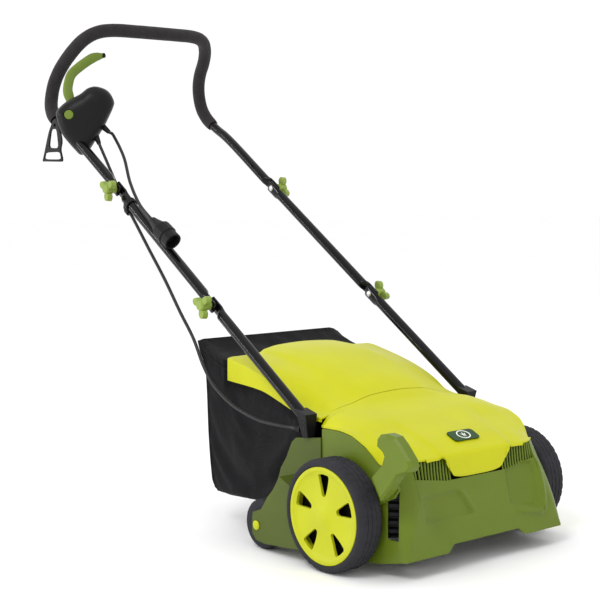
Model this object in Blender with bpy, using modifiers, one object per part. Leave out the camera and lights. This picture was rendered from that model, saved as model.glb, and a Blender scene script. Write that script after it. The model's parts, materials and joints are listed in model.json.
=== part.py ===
"""Electric lawn dethatcher: deck, hood, rear flap, bag, tine drum and belt drive,
crank front axle with depth lever, folding three-part handle with switch box.

Metres, +Z up, the machine drives towards -Y and +X is the operator's left.
Shapes are laid out from the front axle (y = 0, ground z = 0); the empty
"machine" moves that frame so that the origin is under the middle of the box.
"""
import math

import bmesh
import bpy
import numpy as np
from mathutils import Matrix, Vector

# ------------------------------------------------------------ dimensions (m)
AXLE_Y = -0.40032          # front axle in the finished frame
FRONT_R, FRONT_Z = 0.100, 0.100
TYRE_IN, TYRE_OUT = 0.2165, 0.270
HUB_R = 0.0865             # visible disc of the front wheel
REAR_R, REAR_Y, REAR_Z = 0.047, 0.198, 0.047
REAR_IN, REAR_OUT = 0.2120, 0.2455
DECK_X = 0.207             # half width of the deck
WALL = 0.003
SEAM_Y = 0.069             # front deck ends, rear housing starts
FLAP_Y = 0.0865            # hood ends, flap starts
DRUM_Y, DRUM_Z, TINE_R = -0.015, 0.100, 0.088
MOTOR_Y, MOTOR_Z, MOTOR_R = 0.077, 0.2320, 0.0330
CRANK_Y, CRANK_Z = 0.115, 0.100
LEG_X = 0.2135
LEG_Y, LEG_Z, LEG_ANGLE = 0.105, 0.252, math.radians(34.7)
TUBE_R = 0.0105
LOW_S, UP_S = 0.336, 0.735  # bolts, along the leg
PULLEY_X = (0.160, 0.174)
DRIVE_R, DRIVEN_R = 0.012, 0.036
GAP = 0.0004

# ------------------------------------------------------------ scene
for old in list(bpy.data.objects):
    bpy.data.objects.remove(old, do_unlink=True)
for old in list(bpy.data.meshes):
    bpy.data.meshes.remove(old)
PARTS = bpy.data.collections.new("lawn_dethatcher")
CUTTERS = bpy.data.collections.new("cutters")
bpy.context.scene.collection.children.link(PARTS)
bpy.context.scene.collection.children.link(CUTTERS)
MACHINE = bpy.data.objects.new("machine", None)
MACHINE.location = (0.0, AXLE_Y, 0.0)
PARTS.objects.link(MACHINE)

COLOURS = {
    "lime": ((0.62, 0.68, 0.02), 0.35, 0.0),
    "olive": ((0.13, 0.20, 0.035), 0.45, 0.0),
    "green": ((0.25, 0.36, 0.06), 0.45, 0.0),
    "black_plastic": ((0.02, 0.02, 0.022), 0.5, 0.0),
    "tyre": ((0.035, 0.035, 0.04), 0.75, 0.0),
    "foam": ((0.025, 0.022, 0.022), 0.9, 0.0),
    "black_tube": ((0.012, 0.012, 0.013), 0.3, 0.3),
    "fabric": ((0.02, 0.02, 0.022), 0.9, 0.0),
    "steel": ((0.55, 0.55, 0.56), 0.35, 1.0),
    "aluminium": ((0.7, 0.7, 0.7), 0.4, 1.0),
    "cable": ((0.02, 0.02, 0.02), 0.5, 0.0),
    "rubber": ((0.015, 0.015, 0.015), 0.7, 0.0),
    "badge": ((0.03, 0.09, 0.03), 0.35, 0.0),
}
MATERIALS = {}
for key, (colour, rough, metal) in COLOURS.items():
    mat = bpy.data.materials.new(key)
    mat.use_nodes = True
    bsdf = mat.node_tree.nodes["Principled BSDF"]
    bsdf.inputs["Base Color"].default_value = (*colour, 1.0)
    bsdf.inputs["Roughness"].default_value = rough
    bsdf.inputs["Metallic"].default_value = metal
    mat.diffuse_color = (*colour, 1.0)
    MATERIALS[key] = mat


# ------------------------------------------------------------ helpers
def new_object(name, mesh, material=None):
    obj = bpy.data.objects.new(name, mesh)
    obj.parent = MACHINE
    if material:
        PARTS.objects.link(obj)
        mesh.materials.append(MATERIALS[material])
    else:
        CUTTERS.objects.link(obj)
        obj.hide_render = True
        obj.display_type = "WIRE"
    return obj


def from_bmesh(name, bm, material=None, outward=True):
    if outward:
        bmesh.ops.recalc_face_normals(bm, faces=bm.faces)
    mesh = bpy.data.meshes.new(name)
    bm.to_mesh(mesh)
    bm.free()
    return new_object(name, mesh, material)


def put_origin(obj, pivot):
    """Moves an object's origin to its joint, and leaves its shape where it is."""
    obj.data.transform(Matrix.Translation(-Vector(pivot)))
    obj.location = pivot
    return obj


def smooth(obj, angle=40):
    obj.data.shade_smooth()
    obj.data.set_sharp_from_angle(angle=math.radians(angle))
    return obj


def cylinder(name, a, b, r, seg=20, material=None, r2=None):
    a, b = Vector(a), Vector(b)
    bm = bmesh.new()
    bmesh.ops.create_cone(bm, cap_ends=True, segments=seg, radius1=r,
                          radius2=r if r2 is None else r2, depth=(b - a).length)
    turn = (b - a).normalized().to_track_quat("Z", "Y").to_matrix().to_4x4()
    bmesh.ops.transform(bm, matrix=Matrix.Translation((a + b) / 2) @ turn, verts=bm.verts)
    return from_bmesh(name, bm, material)


def box(name, low, high, material=None):
    bm = bmesh.new()
    bmesh.ops.create_cube(bm, size=1.0)
    low, high = Vector(low), Vector(high)
    size = high - low
    bmesh.ops.transform(bm, matrix=Matrix.Translation((low + high) / 2)
                        @ Matrix.Diagonal((*size, 1.0)), verts=bm.verts)
    return from_bmesh(name, bm, material)


def prism_x(name, outline, x0, x1, material=None):
    """A flat outline of (y, z) points, extruded along X."""
    bm = bmesh.new()
    face = bm.faces.new([bm.verts.new((x0, y, z)) for y, z in outline])
    out = bmesh.ops.extrude_face_region(bm, geom=[face])
    moved = [v for v in out["geom"] if isinstance(v, bmesh.types.BMVert)]
    bmesh.ops.translate(bm, vec=(x1 - x0, 0, 0), verts=moved)
    bmesh.ops.triangulate(bm, faces=[f for f in bm.faces if len(f.verts) > 4])
    return from_bmesh(name, bm, material)


def turned_x(name, profile, centre, seg=24, material=None):
    """A closed (x, radius) outline turned about the X axis through centre (y, z)."""
    bm = bmesh.new()
    rings = []
    for k in range(seg):
        a = 2 * math.pi * k / seg
        rings.append([bm.verts.new((x, centre[0] + r * math.cos(a), centre[1] + r * math.sin(a)))
                      for x, r in profile])
    n = len(profile)
    for k in range(seg):
        one, two = rings[k], rings[(k + 1) % seg]
        for i in range(n):
            j = (i + 1) % n
            bm.faces.new((one[i], one[j], two[j], two[i]))
    bmesh.ops.remove_doubles(bm, verts=bm.verts, dist=1e-6)
    return from_bmesh(name, bm, material)


def loft(name, rings, material=None, closed=False):
    """Skins rings of equal length; open lofts get end caps."""
    bm = bmesh.new()
    made = [[bm.verts.new(tuple(p)) for p in ring] for ring in rings]
    n = len(made[0])
    last = len(made) if closed else len(made) - 1
    for k in range(last):
        one, two = made[k], made[(k + 1) % len(made)]
        for i in range(n):
            j = (i + 1) % n
            bm.faces.new((one[i], one[j], two[j], two[i]))
    if not closed:
        bm.faces.new(made[0])
        bm.faces.new(made[-1])
    return from_bmesh(name, bm, material)


def boolean(obj, other, operation="DIFFERENCE"):
    mod = obj.modifiers.new(operation.lower(), "BOOLEAN")
    mod.operation = operation
    mod.solver = "EXACT"
    mod.object = other
    return obj


SIDES = (("right", -1), ("left", 1))     # operator's right is -X


def shift_curve(points, count):
    """Points evenly spaced along a smooth curve through the given ones."""
    p = np.array(points, float)
    p = np.vstack([2 * p[0] - p[1], p, 2 * p[-1] - p[-2]])
    fine = []
    for i in range(1, len(p) - 2):
        for t in np.linspace(0, 1, 24, endpoint=False):
            a, b, c, d = p[i - 1], p[i], p[i + 1], p[i + 2]
            fine.append(0.5 * (2 * b + (c - a) * t + (2 * a - 5 * b + 4 * c - d) * t ** 2
                               + (3 * b - a - 3 * c + d) * t ** 3))
    fine.append(p[-2])
    fine = np.array(fine)
    run = np.r_[0, np.cumsum(np.linalg.norm(np.diff(fine, axis=0), axis=1))]
    at = np.linspace(0, run[-1], count)
    return np.stack([np.interp(at, run, fine[:, k]) for k in range(3)], axis=1)


def on_leg(s, off=0.0, x=0.0):
    """A point s along the straight leg and off above it."""
    return Vector((x, LEG_Y + s * math.cos(LEG_ANGLE) - off * math.sin(LEG_ANGLE),
                   LEG_Z + s * math.sin(LEG_ANGLE) + off * math.cos(LEG_ANGLE)))


# ------------------------------------------------------------ hood and flap surface
LIP = 0.0035               # the hood's edge stands upright over this height
Q = [0.0, 0.337, 0.627, 0.795, 0.916, 1.0]
C_Y = [-0.112, -0.080, -0.025, 0.011, 0.045, 0.062, 0.0865, 0.1225, 0.160, 0.200, 0.250, 0.300, 0.362]
C_Z = [0.2030, 0.2210, 0.2420, 0.2550, 0.2650, 0.2715, 0.2875, 0.3095, 0.3240, 0.3370, 0.3485, 0.3550, 0.3575]
S_Y = [-0.112, -0.100, -0.080, -0.025, 0.011, 0.045, 0.070, 0.098, 0.1225, 0.161, 0.193, 0.224, 0.300, 0.362]
S_Z = [0.2025, 0.2090, 0.2190, 0.2400, 0.2550, 0.2630, 0.2680, 0.2760, 0.2870, 0.3040, 0.3170, 0.3260, 0.3400, 0.3460]
K_Y = [-0.112, -0.080, -0.069, -0.054, -0.031, 0.003, 0.049, 0.095, 0.1225, 0.145, 0.170, 0.203, 0.253, 0.304, 0.362]
K_Z = [0.2022, 0.2030, 0.2070, 0.2170, 0.2300, 0.2440, 0.2540, 0.2570, 0.2600, 0.2680, 0.2840, 0.3000, 0.3170, 0.3300, 0.3430]


# ------------------------------------------------------------ deck outline
def front_y(z):
    """The skirt leans back from its lower edge and straightens near the top."""
    return float(np.interp(z, [0.0, 0.036, 0.165, 0.25], [-0.146, -0.144, -0.115, -0.105]))


def corner_r(z):
    return float(np.clip(0.004 + 0.52 * (z - 0.035), 0.006, 0.0865))


def skirt_y(x, z):
    r, f = corner_r(z), front_y(z)
    d = abs(x) - (DECK_X - r)
    return f if d <= 0 else f + r - math.sqrt(max(r * r - d * d, 0.0))


EDGE_Y = [-0.112, -0.100, -0.085, -0.072, -0.056, -0.040, -0.025, -0.004, 0.030, 0.066, 0.074, 0.13]
EDGE_Z = [0.200, 0.198, 0.190, 0.189, 0.206, 0.221, 0.229, 0.236, 0.240, 0.240, 0.2365, 0.2365]


def edge_z(y):
    """Height of the line where the hood meets the deck."""
    return min(float(np.interp(y, EDGE_Y, EDGE_Z)), float(np.interp(y, K_Y, K_Z)) - 0.001 - LIP)


def skirt_top(x):
    ax = abs(x)
    if ax <= 0.1555:
        return float(np.interp(ax, [0.0, 0.079, 0.155], [0.1545, 0.1545, 0.166]))
    z = 0.2
    for _ in range(8):
        z = edge_z(skirt_y(ax, z)) - 0.0018
    return z


def skirt_bottom(x):
    return float(np.interp(abs(x), [0.0, 0.086, 0.102, 0.2, 0.207], [0.047, 0.047, 0.034, 0.034, 0.034]))


def half_width(y):
    if y < -0.026:
        return 0.121 + math.sqrt(max(0.086 ** 2 - (y + 0.026) ** 2, 0.0))
    return float(np.interp(y, [-0.026, 0.0655, 0.0745, 0.0865, 0.362], [0.207, 0.207, 0.1965, 0.1930, 0.1930]))


def cover_z(q, y):
    """Height of the hood or flap at q, a share of its half width."""
    c, s, k = (float(np.interp(y, *t)) for t in ((C_Y, C_Z), (S_Y, S_Z), (K_Y, K_Z)))
    e = edge_z(y) + LIP if y < FLAP_Y + 0.0002 else k - 0.0035
    near_top = c - (c - s) * (0.337 / 0.627) ** 2.4
    between = s - (s - k) * 0.36
    return float(np.interp(q, Q, [c, near_top, s, between, k, e]))


# ------------------------------------------------------------ deck shell
half = [0.0, 0.04, 0.084, 0.103, 0.130, 0.1545, 0.1572, 0.1783, 0.1937, 0.2016, 0.2058, 0.207]
columns = []
for g in (1.0, 0.727, 0.328):
    columns.append(("side", -1, g))
for x in reversed(half[1:]):
    columns.append(("front", -1, x))
for x in half:
    columns.append(("front", 1, x))
for g in (0.328, 0.727, 1.0):
    columns.append(("side", 1, g))


def deck_point(column, v):
    kind, side, value = column
    if kind == "front":
        low, high = skirt_bottom(value), skirt_top(value)
        z = low + (high - low) * v
        return (side * value, skirt_y(value, z), z)

    def y_at(z):
        start = front_y(z) + corner_r(z)
        return start + (SEAM_Y - start) * value
    low, high = 0.03, 0.22
    for _ in range(8):
        low = float(np.interp(y_at(low), [-0.14, -0.05, 0.07], [0.034, 0.018, 0.016]))
        high = edge_z(y_at(high)) - 0.0012
    z = low + (high - low) * v
    return (side * DECK_X, y_at(z), z)


bm = bmesh.new()
rows = [0.0, 0.25, 0.5, 0.75, 1.0]
grid = [[bm.verts.new(deck_point(c, v)) for v in rows] for c in columns]
for i in range(len(grid) - 1):
    for j in range(len(rows) - 1):
        bm.faces.new((grid[i][j], grid[i + 1][j], grid[i + 1][j + 1], grid[i][j + 1]))
deck = from_bmesh("deck_shell", bm, "olive", outward=False)
wall = deck.modifiers.new("wall", "SOLIDIFY")
wall.thickness = WALL
wall.offset = -1.0
wall.use_even_offset = True
smooth(deck)
# slot for the depth lever's rack, in the rounded right front corner
slot = box("cut_slot", (-0.0098, -0.020, 0.0), (0.0098, 0.020, 0.097))
slot.data.transform(Matrix.Rotation(math.radians(-48), 4, "Z"))
slot.location = (-0.1975, -0.1045, 0.068)
boolean(deck, slot)

# ------------------------------------------------------------ depth rack
rack_pts = []
for k in range(6):
    z = 0.074 + 0.0148 * k
    rack_pts += [(-0.006, z), (0.002, z + 0.003), (0.002, z + 0.009), (-0.006, z + 0.012)]
rack_outline = [(-0.0095, 0.0686), (0.0, 0.0686)] + rack_pts + [(-0.0095, 0.1615)]
rack = prism_x("depth_rack", rack_outline, -0.0090, 0.0090, "black_plastic")
boolean(rack, prism_x("add_rack_back", [(-0.0140, 0.0660), (-0.0140, 0.1540), (-0.0088, 0.1500), (-0.0088, 0.0660)],
                      -0.0125, 0.0125), "UNION")
for piece in (rack, bpy.data.objects["add_rack_back"]):
    piece.data.transform(Matrix.Translation((0, 0, -0.07)))
    piece.data.transform(Matrix.Rotation(math.radians(180 - 48), 4, "Z"))
    piece.location = (-0.1920, -0.0995, 0.070)


# ------------------------------------------------------------ drum guard and bulkhead
guard_line = []
for a in range(176, 24, -19):
    t = math.radians(a)
    guard_line.append((DRUM_Y + 0.0955 * math.cos(t), DRUM_Z + 0.0955 * math.sin(t), 0.2033))
guard_line += [(0.088, 0.160, 0.2033), (0.1155, 0.200, 0.1865), (0.1172, 0.0, 0.1865)]
bm = bmesh.new()
grid = []
for y, z, half_x in guard_line:
    row = []
    for share in (-1, -0.92, -0.795, -0.627, -0.337, 0, 0.337, 0.627, 0.795, 0.92, 1):
        x = share * half_x
        row.append(bm.verts.new((x, y, z if z else cover_z(abs(x) / half_width(y), y) - 0.0048)))
    grid.append(row)
for i in range(len(grid) - 1):
    for j in range(len(grid[0]) - 1):
        bm.faces.new((grid[i][j], grid[i][j + 1], grid[i + 1][j + 1], grid[i + 1][j]))
guard = from_bmesh("drum_guard", bm, "black_plastic", outward=False)
wall = guard.modifiers.new("wall", "SOLIDIFY")
wall.thickness = 0.0025
wall.offset = 0.0
# its front corners follow the inside of the deck
inside = []
for z in (0.060, 0.110, 0.165, 0.215):
    r, f = corner_r(z), front_y(z)
    ring = [(-0.2040, 0.150, z), (0.2040, 0.150, z)]
    for k in range(9):
        t = math.pi / 2 * k / 8
        ring.append((DECK_X - r + (r - 0.0052) * math.cos(t), f + r - (r - 0.0052) * math.sin(t), z))
    for k in range(8, -1, -1):
        t = math.pi / 2 * k / 8
        ring.append((-(DECK_X - r + (r - 0.0052) * math.cos(t)), f + r - (r - 0.0052) * math.sin(t), z))
    inside.append(ring)
inside += [[(x, y, 0.330) for x, y, _ in inside[-1]]]
boolean(guard, loft("cut_guard_corners", inside), "INTERSECT")
boolean(guard, box("cut_guard_rack", (-0.2100, -0.1300, 0.050), (-0.1720, -0.0830, 0.180)))


def around(r_low, r_high, seg=10):
    """A belt-shaped outline round the drum pulley and the motor pulley."""
    a, b = Vector((DRUM_Y, DRUM_Z)), Vector((MOTOR_Y, MOTOR_Z))
    along = math.atan2((b - a).y, (b - a).x)
    tilt = math.asin((r_low - r_high) / (b - a).length)
    points = []
    for k in range(seg + 1):
        t = along - math.pi / 2 - tilt * -1 + (math.pi + -2 * tilt) * k / seg
        points.append((b.x + r_high * math.cos(t), b.y + r_high * math.sin(t)))
    for k in range(seg + 5):
        t = along + math.pi / 2 - tilt + (math.pi + 2 * tilt) * k / (seg + 4)
        points.append((a.x + r_low * math.cos(t), a.y + r_low * math.sin(t)))
    return points


boolean(guard, prism_x("cut_belt_way", around(0.053, 0.025), 0.1470, 0.1850))

cover = prism_x("belt_cover", around(0.050, 0.022), 0.1490, 0.1515, "black_plastic")
boolean(cover, cylinder("cut_cover_low", (0.14, DRUM_Y, DRUM_Z), (0.16, DRUM_Y, DRUM_Z), 0.0105, 16))
boolean(cover, cylinder("cut_cover_high", (0.14, MOTOR_Y, MOTOR_Z), (0.16, MOTOR_Y, MOTOR_Z), 0.006, 12))

outer = around(DRIVEN_R + 0.0029, DRIVE_R + 0.0029)
inner = around(DRIVEN_R + 0.0004, DRIVE_R + 0.0004)
belt_rings = []
for (yo, zo), (yi, zi) in zip(outer, inner):
    belt_rings.append([(0.1625, yo, zo), (0.1715, yo, zo), (0.1715, yi, zi), (0.1625, yi, zi)])
loft("drive_belt", belt_rings, "rubber", closed=True)

# ------------------------------------------------------------ tine drum
drum = turned_x("tine_drum", [(-0.1862, 0.008), (-0.1862, 0.0), (0.1862, 0.0), (0.1862, 0.008),
                              (0.146, 0.008), (0.144, 0.016), (-0.176, 0.016), (-0.178, 0.008)],
                (DRUM_Y, DRUM_Z), 12, "steel")
bm = bmesh.new()
for k in range(14):
    x = -0.166 + 0.0232 * k
    a = math.radians(10 + 51.43 * k)
    turn = Matrix.Translation((x, DRUM_Y, DRUM_Z)) @ Matrix.Rotation(a, 4, "X")
    bmesh.ops.create_cone(bm, cap_ends=True, segments=6, radius1=0.0022, radius2=0.0022,
                          depth=2 * TINE_R, matrix=turn)
tines = from_bmesh("add_tines", bm)
boolean(drum, tines, "UNION")
put_origin(drum, (0, DRUM_Y, DRUM_Z))
pulley = turned_x("driven_pulley", [(PULLEY_X[0], 0.0084), (PULLEY_X[1], 0.0084), (PULLEY_X[1], DRIVEN_R),
                                    (PULLEY_X[0], DRIVEN_R)], (DRUM_Y, DRUM_Z), 24, "black_plastic")
put_origin(pulley, (0, DRUM_Y, DRUM_Z))
for side_name, side in SIDES:
    turned_x("drum_bearing_" + side_name,
             [(side * 0.1875, 0.0086), (side * 0.2032, 0.0086), (side * 0.2032, 0.021), (side * 0.1905, 0.021),
              (side * 0.1875, 0.017)], (DRUM_Y, DRUM_Z), 16, "black_plastic")

# ------------------------------------------------------------ motor
motor = turned_x("motor_housing", [(-0.116, 0.0050), (-0.116, 0.016), (-0.110, MOTOR_R), (0.112, MOTOR_R),
                                   (0.118, 0.016), (0.118, 0.0050), (0.106, 0.0050), (0.100, 0.0255),
                                   (-0.098, 0.0255), (-0.104, 0.0050)], (MOTOR_Y, MOTOR_Z), 20, "aluminium")
rotor = turned_x("rotor_shaft", [(-0.122, 0.0), (0.1745, 0.0), (0.1745, 0.0042), (0.087, 0.0042), (0.085, 0.0245),
                                 (-0.085, 0.0245), (-0.087, 0.0042), (-0.122, 0.0042)], (MOTOR_Y, MOTOR_Z), 14, "steel")
put_origin(rotor, (0, MOTOR_Y, MOTOR_Z))
small = turned_x("drive_pulley", [(PULLEY_X[0], 0.0046), (PULLEY_X[1], 0.0046), (PULLEY_X[1], DRIVE_R),
                                  (PULLEY_X[0], DRIVE_R)], (MOTOR_Y, MOTOR_Z), 16, "steel")
put_origin(small, (0, MOTOR_Y, MOTOR_Z))

# ------------------------------------------------------------ hood
q_cols = [0.0, 0.2, 0.337, 0.5, 0.627, 0.72, 0.795, 0.87, 0.94, 1.0]
q_all = [-q for q in reversed(q_cols[1:])] + q_cols
hood_rows = [-0.1118, -0.104, -0.090, -0.072, -0.056, -0.040, -0.022, 0.010, 0.045, 0.0655, 0.0745, FLAP_Y - 0.0008]
bm = bmesh.new()
front_q = [0.0, 0.22, 0.44, 0.65, 0.70, 0.80, 0.90, 0.95, 0.98, 1.0]
grid = []
for y in hood_rows:
    blend = min(max((y + 0.1118) / 0.05, 0.0), 1.0)
    row = []
    for n, q in enumerate(q_all):
        f = math.copysign(front_q[abs(n - 9)], q) if q else 0.0
        use = f + (q - f) * blend
        row.append(bm.verts.new((use * half_width(y), y, cover_z(abs(use), y))))
    grid.append(row)
for i in range(len(grid) - 1):
    for j in range(len(q_all) - 1):
        bm.faces.new((grid[i][j], grid[i][j + 1], grid[i + 1][j + 1], grid[i + 1][j]))
lips = [[bm.verts.new((row[n].co.x, row[n].co.y, row[n].co.z - LIP)) for row in grid] for n in (0, -1)]
for i in range(len(grid) - 1):
    bm.faces.new((lips[0][i], grid[i][0], grid[i + 1][0], lips[0][i + 1]))
    bm.faces.new((grid[i][-1], lips[1][i], lips[1][i + 1], grid[i + 1][-1]))
# the tongue: the middle of the front edge runs down between the two grilles
tongue_cols = [j for j in range(len(q_all)) if abs(j - 9) <= 3]
last = [grid[0][j] for j in tongue_cols]
for depth, narrow in ((0.35, 1.0), (0.72, 0.985), (1.0, 0.90)):
    new = []
    for j in tongue_cols:
        top = grid[0][j].co
        low_z = 0.1575 + 0.004 * (abs(top.x) / 0.079) ** 3
        new.append(bm.verts.new((top.x * narrow, top.y - 0.0045 * depth, top.z + (low_z - top.z) * depth)))
    for a in range(len(new) - 1):
        bm.faces.new((new[a], new[a + 1], last[a + 1], last[a]))
    last = new
hood = from_bmesh("hood_cover", bm, "lime", outward=False)
wall = hood.modifiers.new("wall", "SOLIDIFY")
wall.thickness = 0.0025
wall.offset = -1.0
smooth(hood)

flap_rows = [FLAP_Y + 0.0004, 0.100, 0.1225, 0.140, 0.170, 0.205, 0.250, 0.300, 0.345, 0.362]
bm = bmesh.new()
grid = []
for y in flap_rows:
    low = float(np.interp(y, [0.0865, 0.1225, 0.160, 0.206, 0.260, 0.362],
                          [0.2460, 0.2480, 0.2560, 0.2710, 0.2860, 0.2950]))
    row = []
    for q in q_all:
        row.append((q * 0.193, y, cover_z(abs(q), y)))
    k = row[0][2]
    right = [(-0.1938, y, low + (k - low) * t) for t in (0.0, 0.5)]
    left = [(0.1938, y, low + (k - low) * t) for t in (0.5, 0.0)]
    grid.append([bm.verts.new(p) for p in right + row + left])
for i in range(len(grid) - 1):
    for j in range(len(grid[0]) - 1):
        bm.faces.new((grid[i][j], grid[i][j + 1], grid[i + 1][j + 1], grid[i + 1][j]))
flap = from_bmesh("discharge_flap", bm, "lime", outward=False)
wall = flap.modifiers.new("wall", "SOLIDIFY")
wall.thickness = 0.0025
wall.offset = -1.0
smooth(flap)
FLAP_PIVOT = (0.0, 0.0880, 0.2930)
put_origin(flap, FLAP_PIVOT)

# ------------------------------------------------------------ grilles and badge
for side_name, side in SIDES:
    bm = bmesh.new()
    n = 11
    edge = []
    for k in range(n + 1):
        x = 0.0805 + (0.1535 - 0.0805) * k / n
        low = skirt_top(x) + 0.0006
        high = 0.1925 + 0.004 * k / n
        edge.append([bm.verts.new((side * x, skirt_y(x, z) + 0.0040, z))
                     for z in (low, (low + high) / 2, high)])
    for k in range(n):
        for j in range(2):
            quad = (edge[k][j], edge[k + 1][j], edge[k + 1][j + 1], edge[k][j + 1])
            bm.faces.new(quad if side > 0 else quad[::-1])
    grille = from_bmesh("front_grille_" + side_name, bm, "black_plastic", outward=False)
    wall = grille.modifiers.new("wall", "SOLIDIFY")
    wall.thickness = 0.002
    wall.offset = -1.0

centre = Vector((0.0, -0.0815, cover_z(0.0, -0.0815)))
badge = box("badge", (-0.033, -0.0145, 0.0), (0.033, 0.0145, 0.0018), "badge")
bevel = badge.modifiers.new("corners", "BEVEL")
bevel.width = 0.007
bevel.segments = 3
bevel.affect = "EDGES"
bevel.limit_method = "WEIGHT"
weights = badge.data.attributes.new("bevel_weight_edge", "FLOAT", "EDGE")
for e in badge.data.edges:
    a, b = (badge.data.vertices[i].co for i in e.vertices)
    weights.data[e.index].value = 1.0 if abs(a.z - b.z) > 1e-4 else 0.0
slope = math.atan2(cover_z(0, -0.060) - cover_z(0, -0.100), 0.040)
badge.rotation_euler = (slope, 0, 0)
badge.location = centre + Vector((0, -math.sin(slope), math.cos(slope))) * 0.0009

# ------------------------------------------------------------ rear housing
side_outline = [(0.0695, 0.0175), (0.0695, 0.2215), (0.138, 0.2130), (0.150, 0.2030), (0.166, 0.1720),
                (0.181, 0.1520), (0.191, 0.1260), (0.206, 0.1050), (0.215, 0.0850), (0.215, 0.0300),
                (0.205, 0.0200), (0.180, 0.0160)]
rear = prism_x("rear_housing", side_outline, -0.2100, -0.2050, "olive")
other = prism_x("add_rear_side", side_outline, 0.2050, 0.2100)
floor = prism_x("add_rear_floor", [(0.090, 0.0450), (0.205, 0.0700), (0.205, 0.0850), (0.090, 0.0600)],
                -0.2070, 0.2070)
boolean(rear, floor, "UNION")
boolean(rear, other, "UNION")
arch = []
for a in np.linspace(-46, 19, 8):
    t = math.radians(a)
    arch.append((0.1065 * math.cos(t), FRONT_Z + 0.1065 * math.sin(t)))
flare = arch + [(0.1320, 0.1480), (0.1480, 0.1230), (0.1660, 0.1050), (0.1850, 0.0790), (0.2090, 0.0700),
                (0.2110, 0.0600), (0.2110, 0.0300), (0.2000, 0.0190), (0.1740, 0.0160)]
for side_name, side in SIDES:
    lo, hi = sorted((side * 0.2075, side * 0.2555))
    boolean(rear, prism_x("add_flare_" + side_name, flare, lo, hi), "UNION")
    lo, hi = sorted((side * 0.1880, side * 0.2080))
    boolean(rear, prism_x("add_ledge_" + side_name, [(0.0712, 0.2020), (0.0712, 0.2190), (0.132, 0.2115),
                                                    (0.132, 0.2020)], lo, hi), "UNION")
for side_name, side in SIDES:
    lo, hi = sorted((side * 0.2108, side * 0.2472))
    boolean(rear, cylinder("cut_well_" + side_name, (lo, REAR_Y, REAR_Z), (hi, REAR_Y, REAR_Z), 0.0525, 24))
    boolean(rear, cylinder("cut_axle_" + side_name, (side * 0.200, REAR_Y, REAR_Z),
                           (side * 0.262, REAR_Y, REAR_Z), 0.0058, 12))
    lo, hi = sorted((side * 0.2070, side * 0.2158))
    boolean(rear, prism_x("cut_arm_" + side_name,
                          [(CRANK_Y + 0.0205 * math.cos(t), CRANK_Z + 0.0205 * math.sin(t))
                           for t in np.linspace(-math.pi / 2, math.pi / 2, 9)] + [(0.060, 0.1235), (0.060, 0.0765)],
                          lo, hi))
    boolean(rear, cylinder("cut_crank_" + side_name, (side * 0.198, CRANK_Y, CRANK_Z),
                           (side * 0.2145, CRANK_Y, CRANK_Z), 0.0090, 16))
smooth(rear, 30)

# ------------------------------------------------------------ rear wheels
cylinder("rear_axle", (-0.2545, REAR_Y, REAR_Z), (0.2545, REAR_Y, REAR_Z), 0.0052, 12, "steel")
for side_name, side in SIDES:
    w = turned_x("rear_wheel_" + side_name,
                 [(side * REAR_IN, 0.0058), (side * REAR_OUT, 0.0058), (side * REAR_OUT, 0.030),
                  (side * (REAR_OUT - 0.001), 0.042), (side * (REAR_OUT - 0.006), REAR_R),
                  (side * (REAR_IN + 0.006), REAR_R), (side * (REAR_IN + 0.001), 0.042),
                  (side * REAR_IN, 0.030)], (REAR_Y, REAR_Z), 32, "tyre")
    put_origin(smooth(w), (0, REAR_Y, REAR_Z))
    cap = turned_x("rear_axle_cap_" + side_name,
                   [(side * 0.2559, 0.0), (side * 0.2559, 0.0088), (side * 0.2575, 0.0088),
                    (side * 0.2590, 0.0060), (side * 0.2594, 0.0)], (REAR_Y, REAR_Z), 16, "lime")

# ------------------------------------------------------------ crank axle and depth lever
crank = cylinder("crank_axle", (-0.2115, CRANK_Y, CRANK_Z), (0.2115, CRANK_Y, CRANK_Z), 0.0080, 16, "steel")
arm = []
for t in np.linspace(-math.pi / 2, math.pi / 2, 7):
    arm.append((CRANK_Y + 0.0170 * math.cos(t), CRANK_Z + 0.0170 * math.sin(t)))
for t in np.linspace(math.pi / 2, 3 * math.pi / 2, 7):
    arm.append((0.0165 * math.cos(t), FRONT_Z + 0.0165 * math.sin(t)))
for side_name, side in SIDES:
    lo, hi = sorted((side * 0.2085, side * 0.2145))
    boolean(crank, prism_x("add_arm_" + side_name, arm, lo, hi), "UNION")
    boolean(crank, cylinder("add_stub_" + side_name, (side * 0.2110, 0, FRONT_Z), (side * 0.2606, 0, FRONT_Z),
                            0.0070, 16), "UNION")
put_origin(crank, (0, CRANK_Y, CRANK_Z))

grip = [(-0.115, 0.248), (-0.114, 0.240), (-0.129, 0.231), (-0.134, 0.223), (-0.127, 0.204), (-0.100, 0.178),
        (-0.122, 0.144), (-0.141, 0.164), (-0.153, 0.178), (-0.164, 0.193), (-0.190, 0.203), (-0.197, 0.212),
        (-0.193, 0.222), (-0.172, 0.245), (-0.158, 0.257), (-0.139, 0.260), (-0.123, 0.257)]
mid_y, mid_z = sum(y for y, _ in grip) / len(grip), sum(z for _, z in grip) / len(grip)
rings = []
for x, share in ((-0.2265, 0.90), (-0.2285, 1.0), (-0.2455, 1.0), (-0.2495, 0.88)):
    rings.append([(x, mid_y + (y - mid_y) * share, mid_z + (z - mid_z) * share) for y, z in grip])
depth_lever = loft("depth_lever", rings, "green")
shank = [(-0.0163, 0.1050), (-0.0150, 0.1060), (-0.0950, 0.1830), (-0.1200, 0.1900), (-0.1330, 0.1600),
         (-0.1210, 0.1430), (-0.0165, 0.0960)]
boolean(depth_lever, prism_x("add_shank", shank, -0.2143, -0.2090), "UNION")
neck = [(-0.1080, 0.1800), (-0.1220, 0.1860), (-0.1320, 0.1620), (-0.1220, 0.1500)]
boolean(depth_lever, prism_x("add_neck", neck, -0.2300, -0.2092), "UNION")
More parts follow.
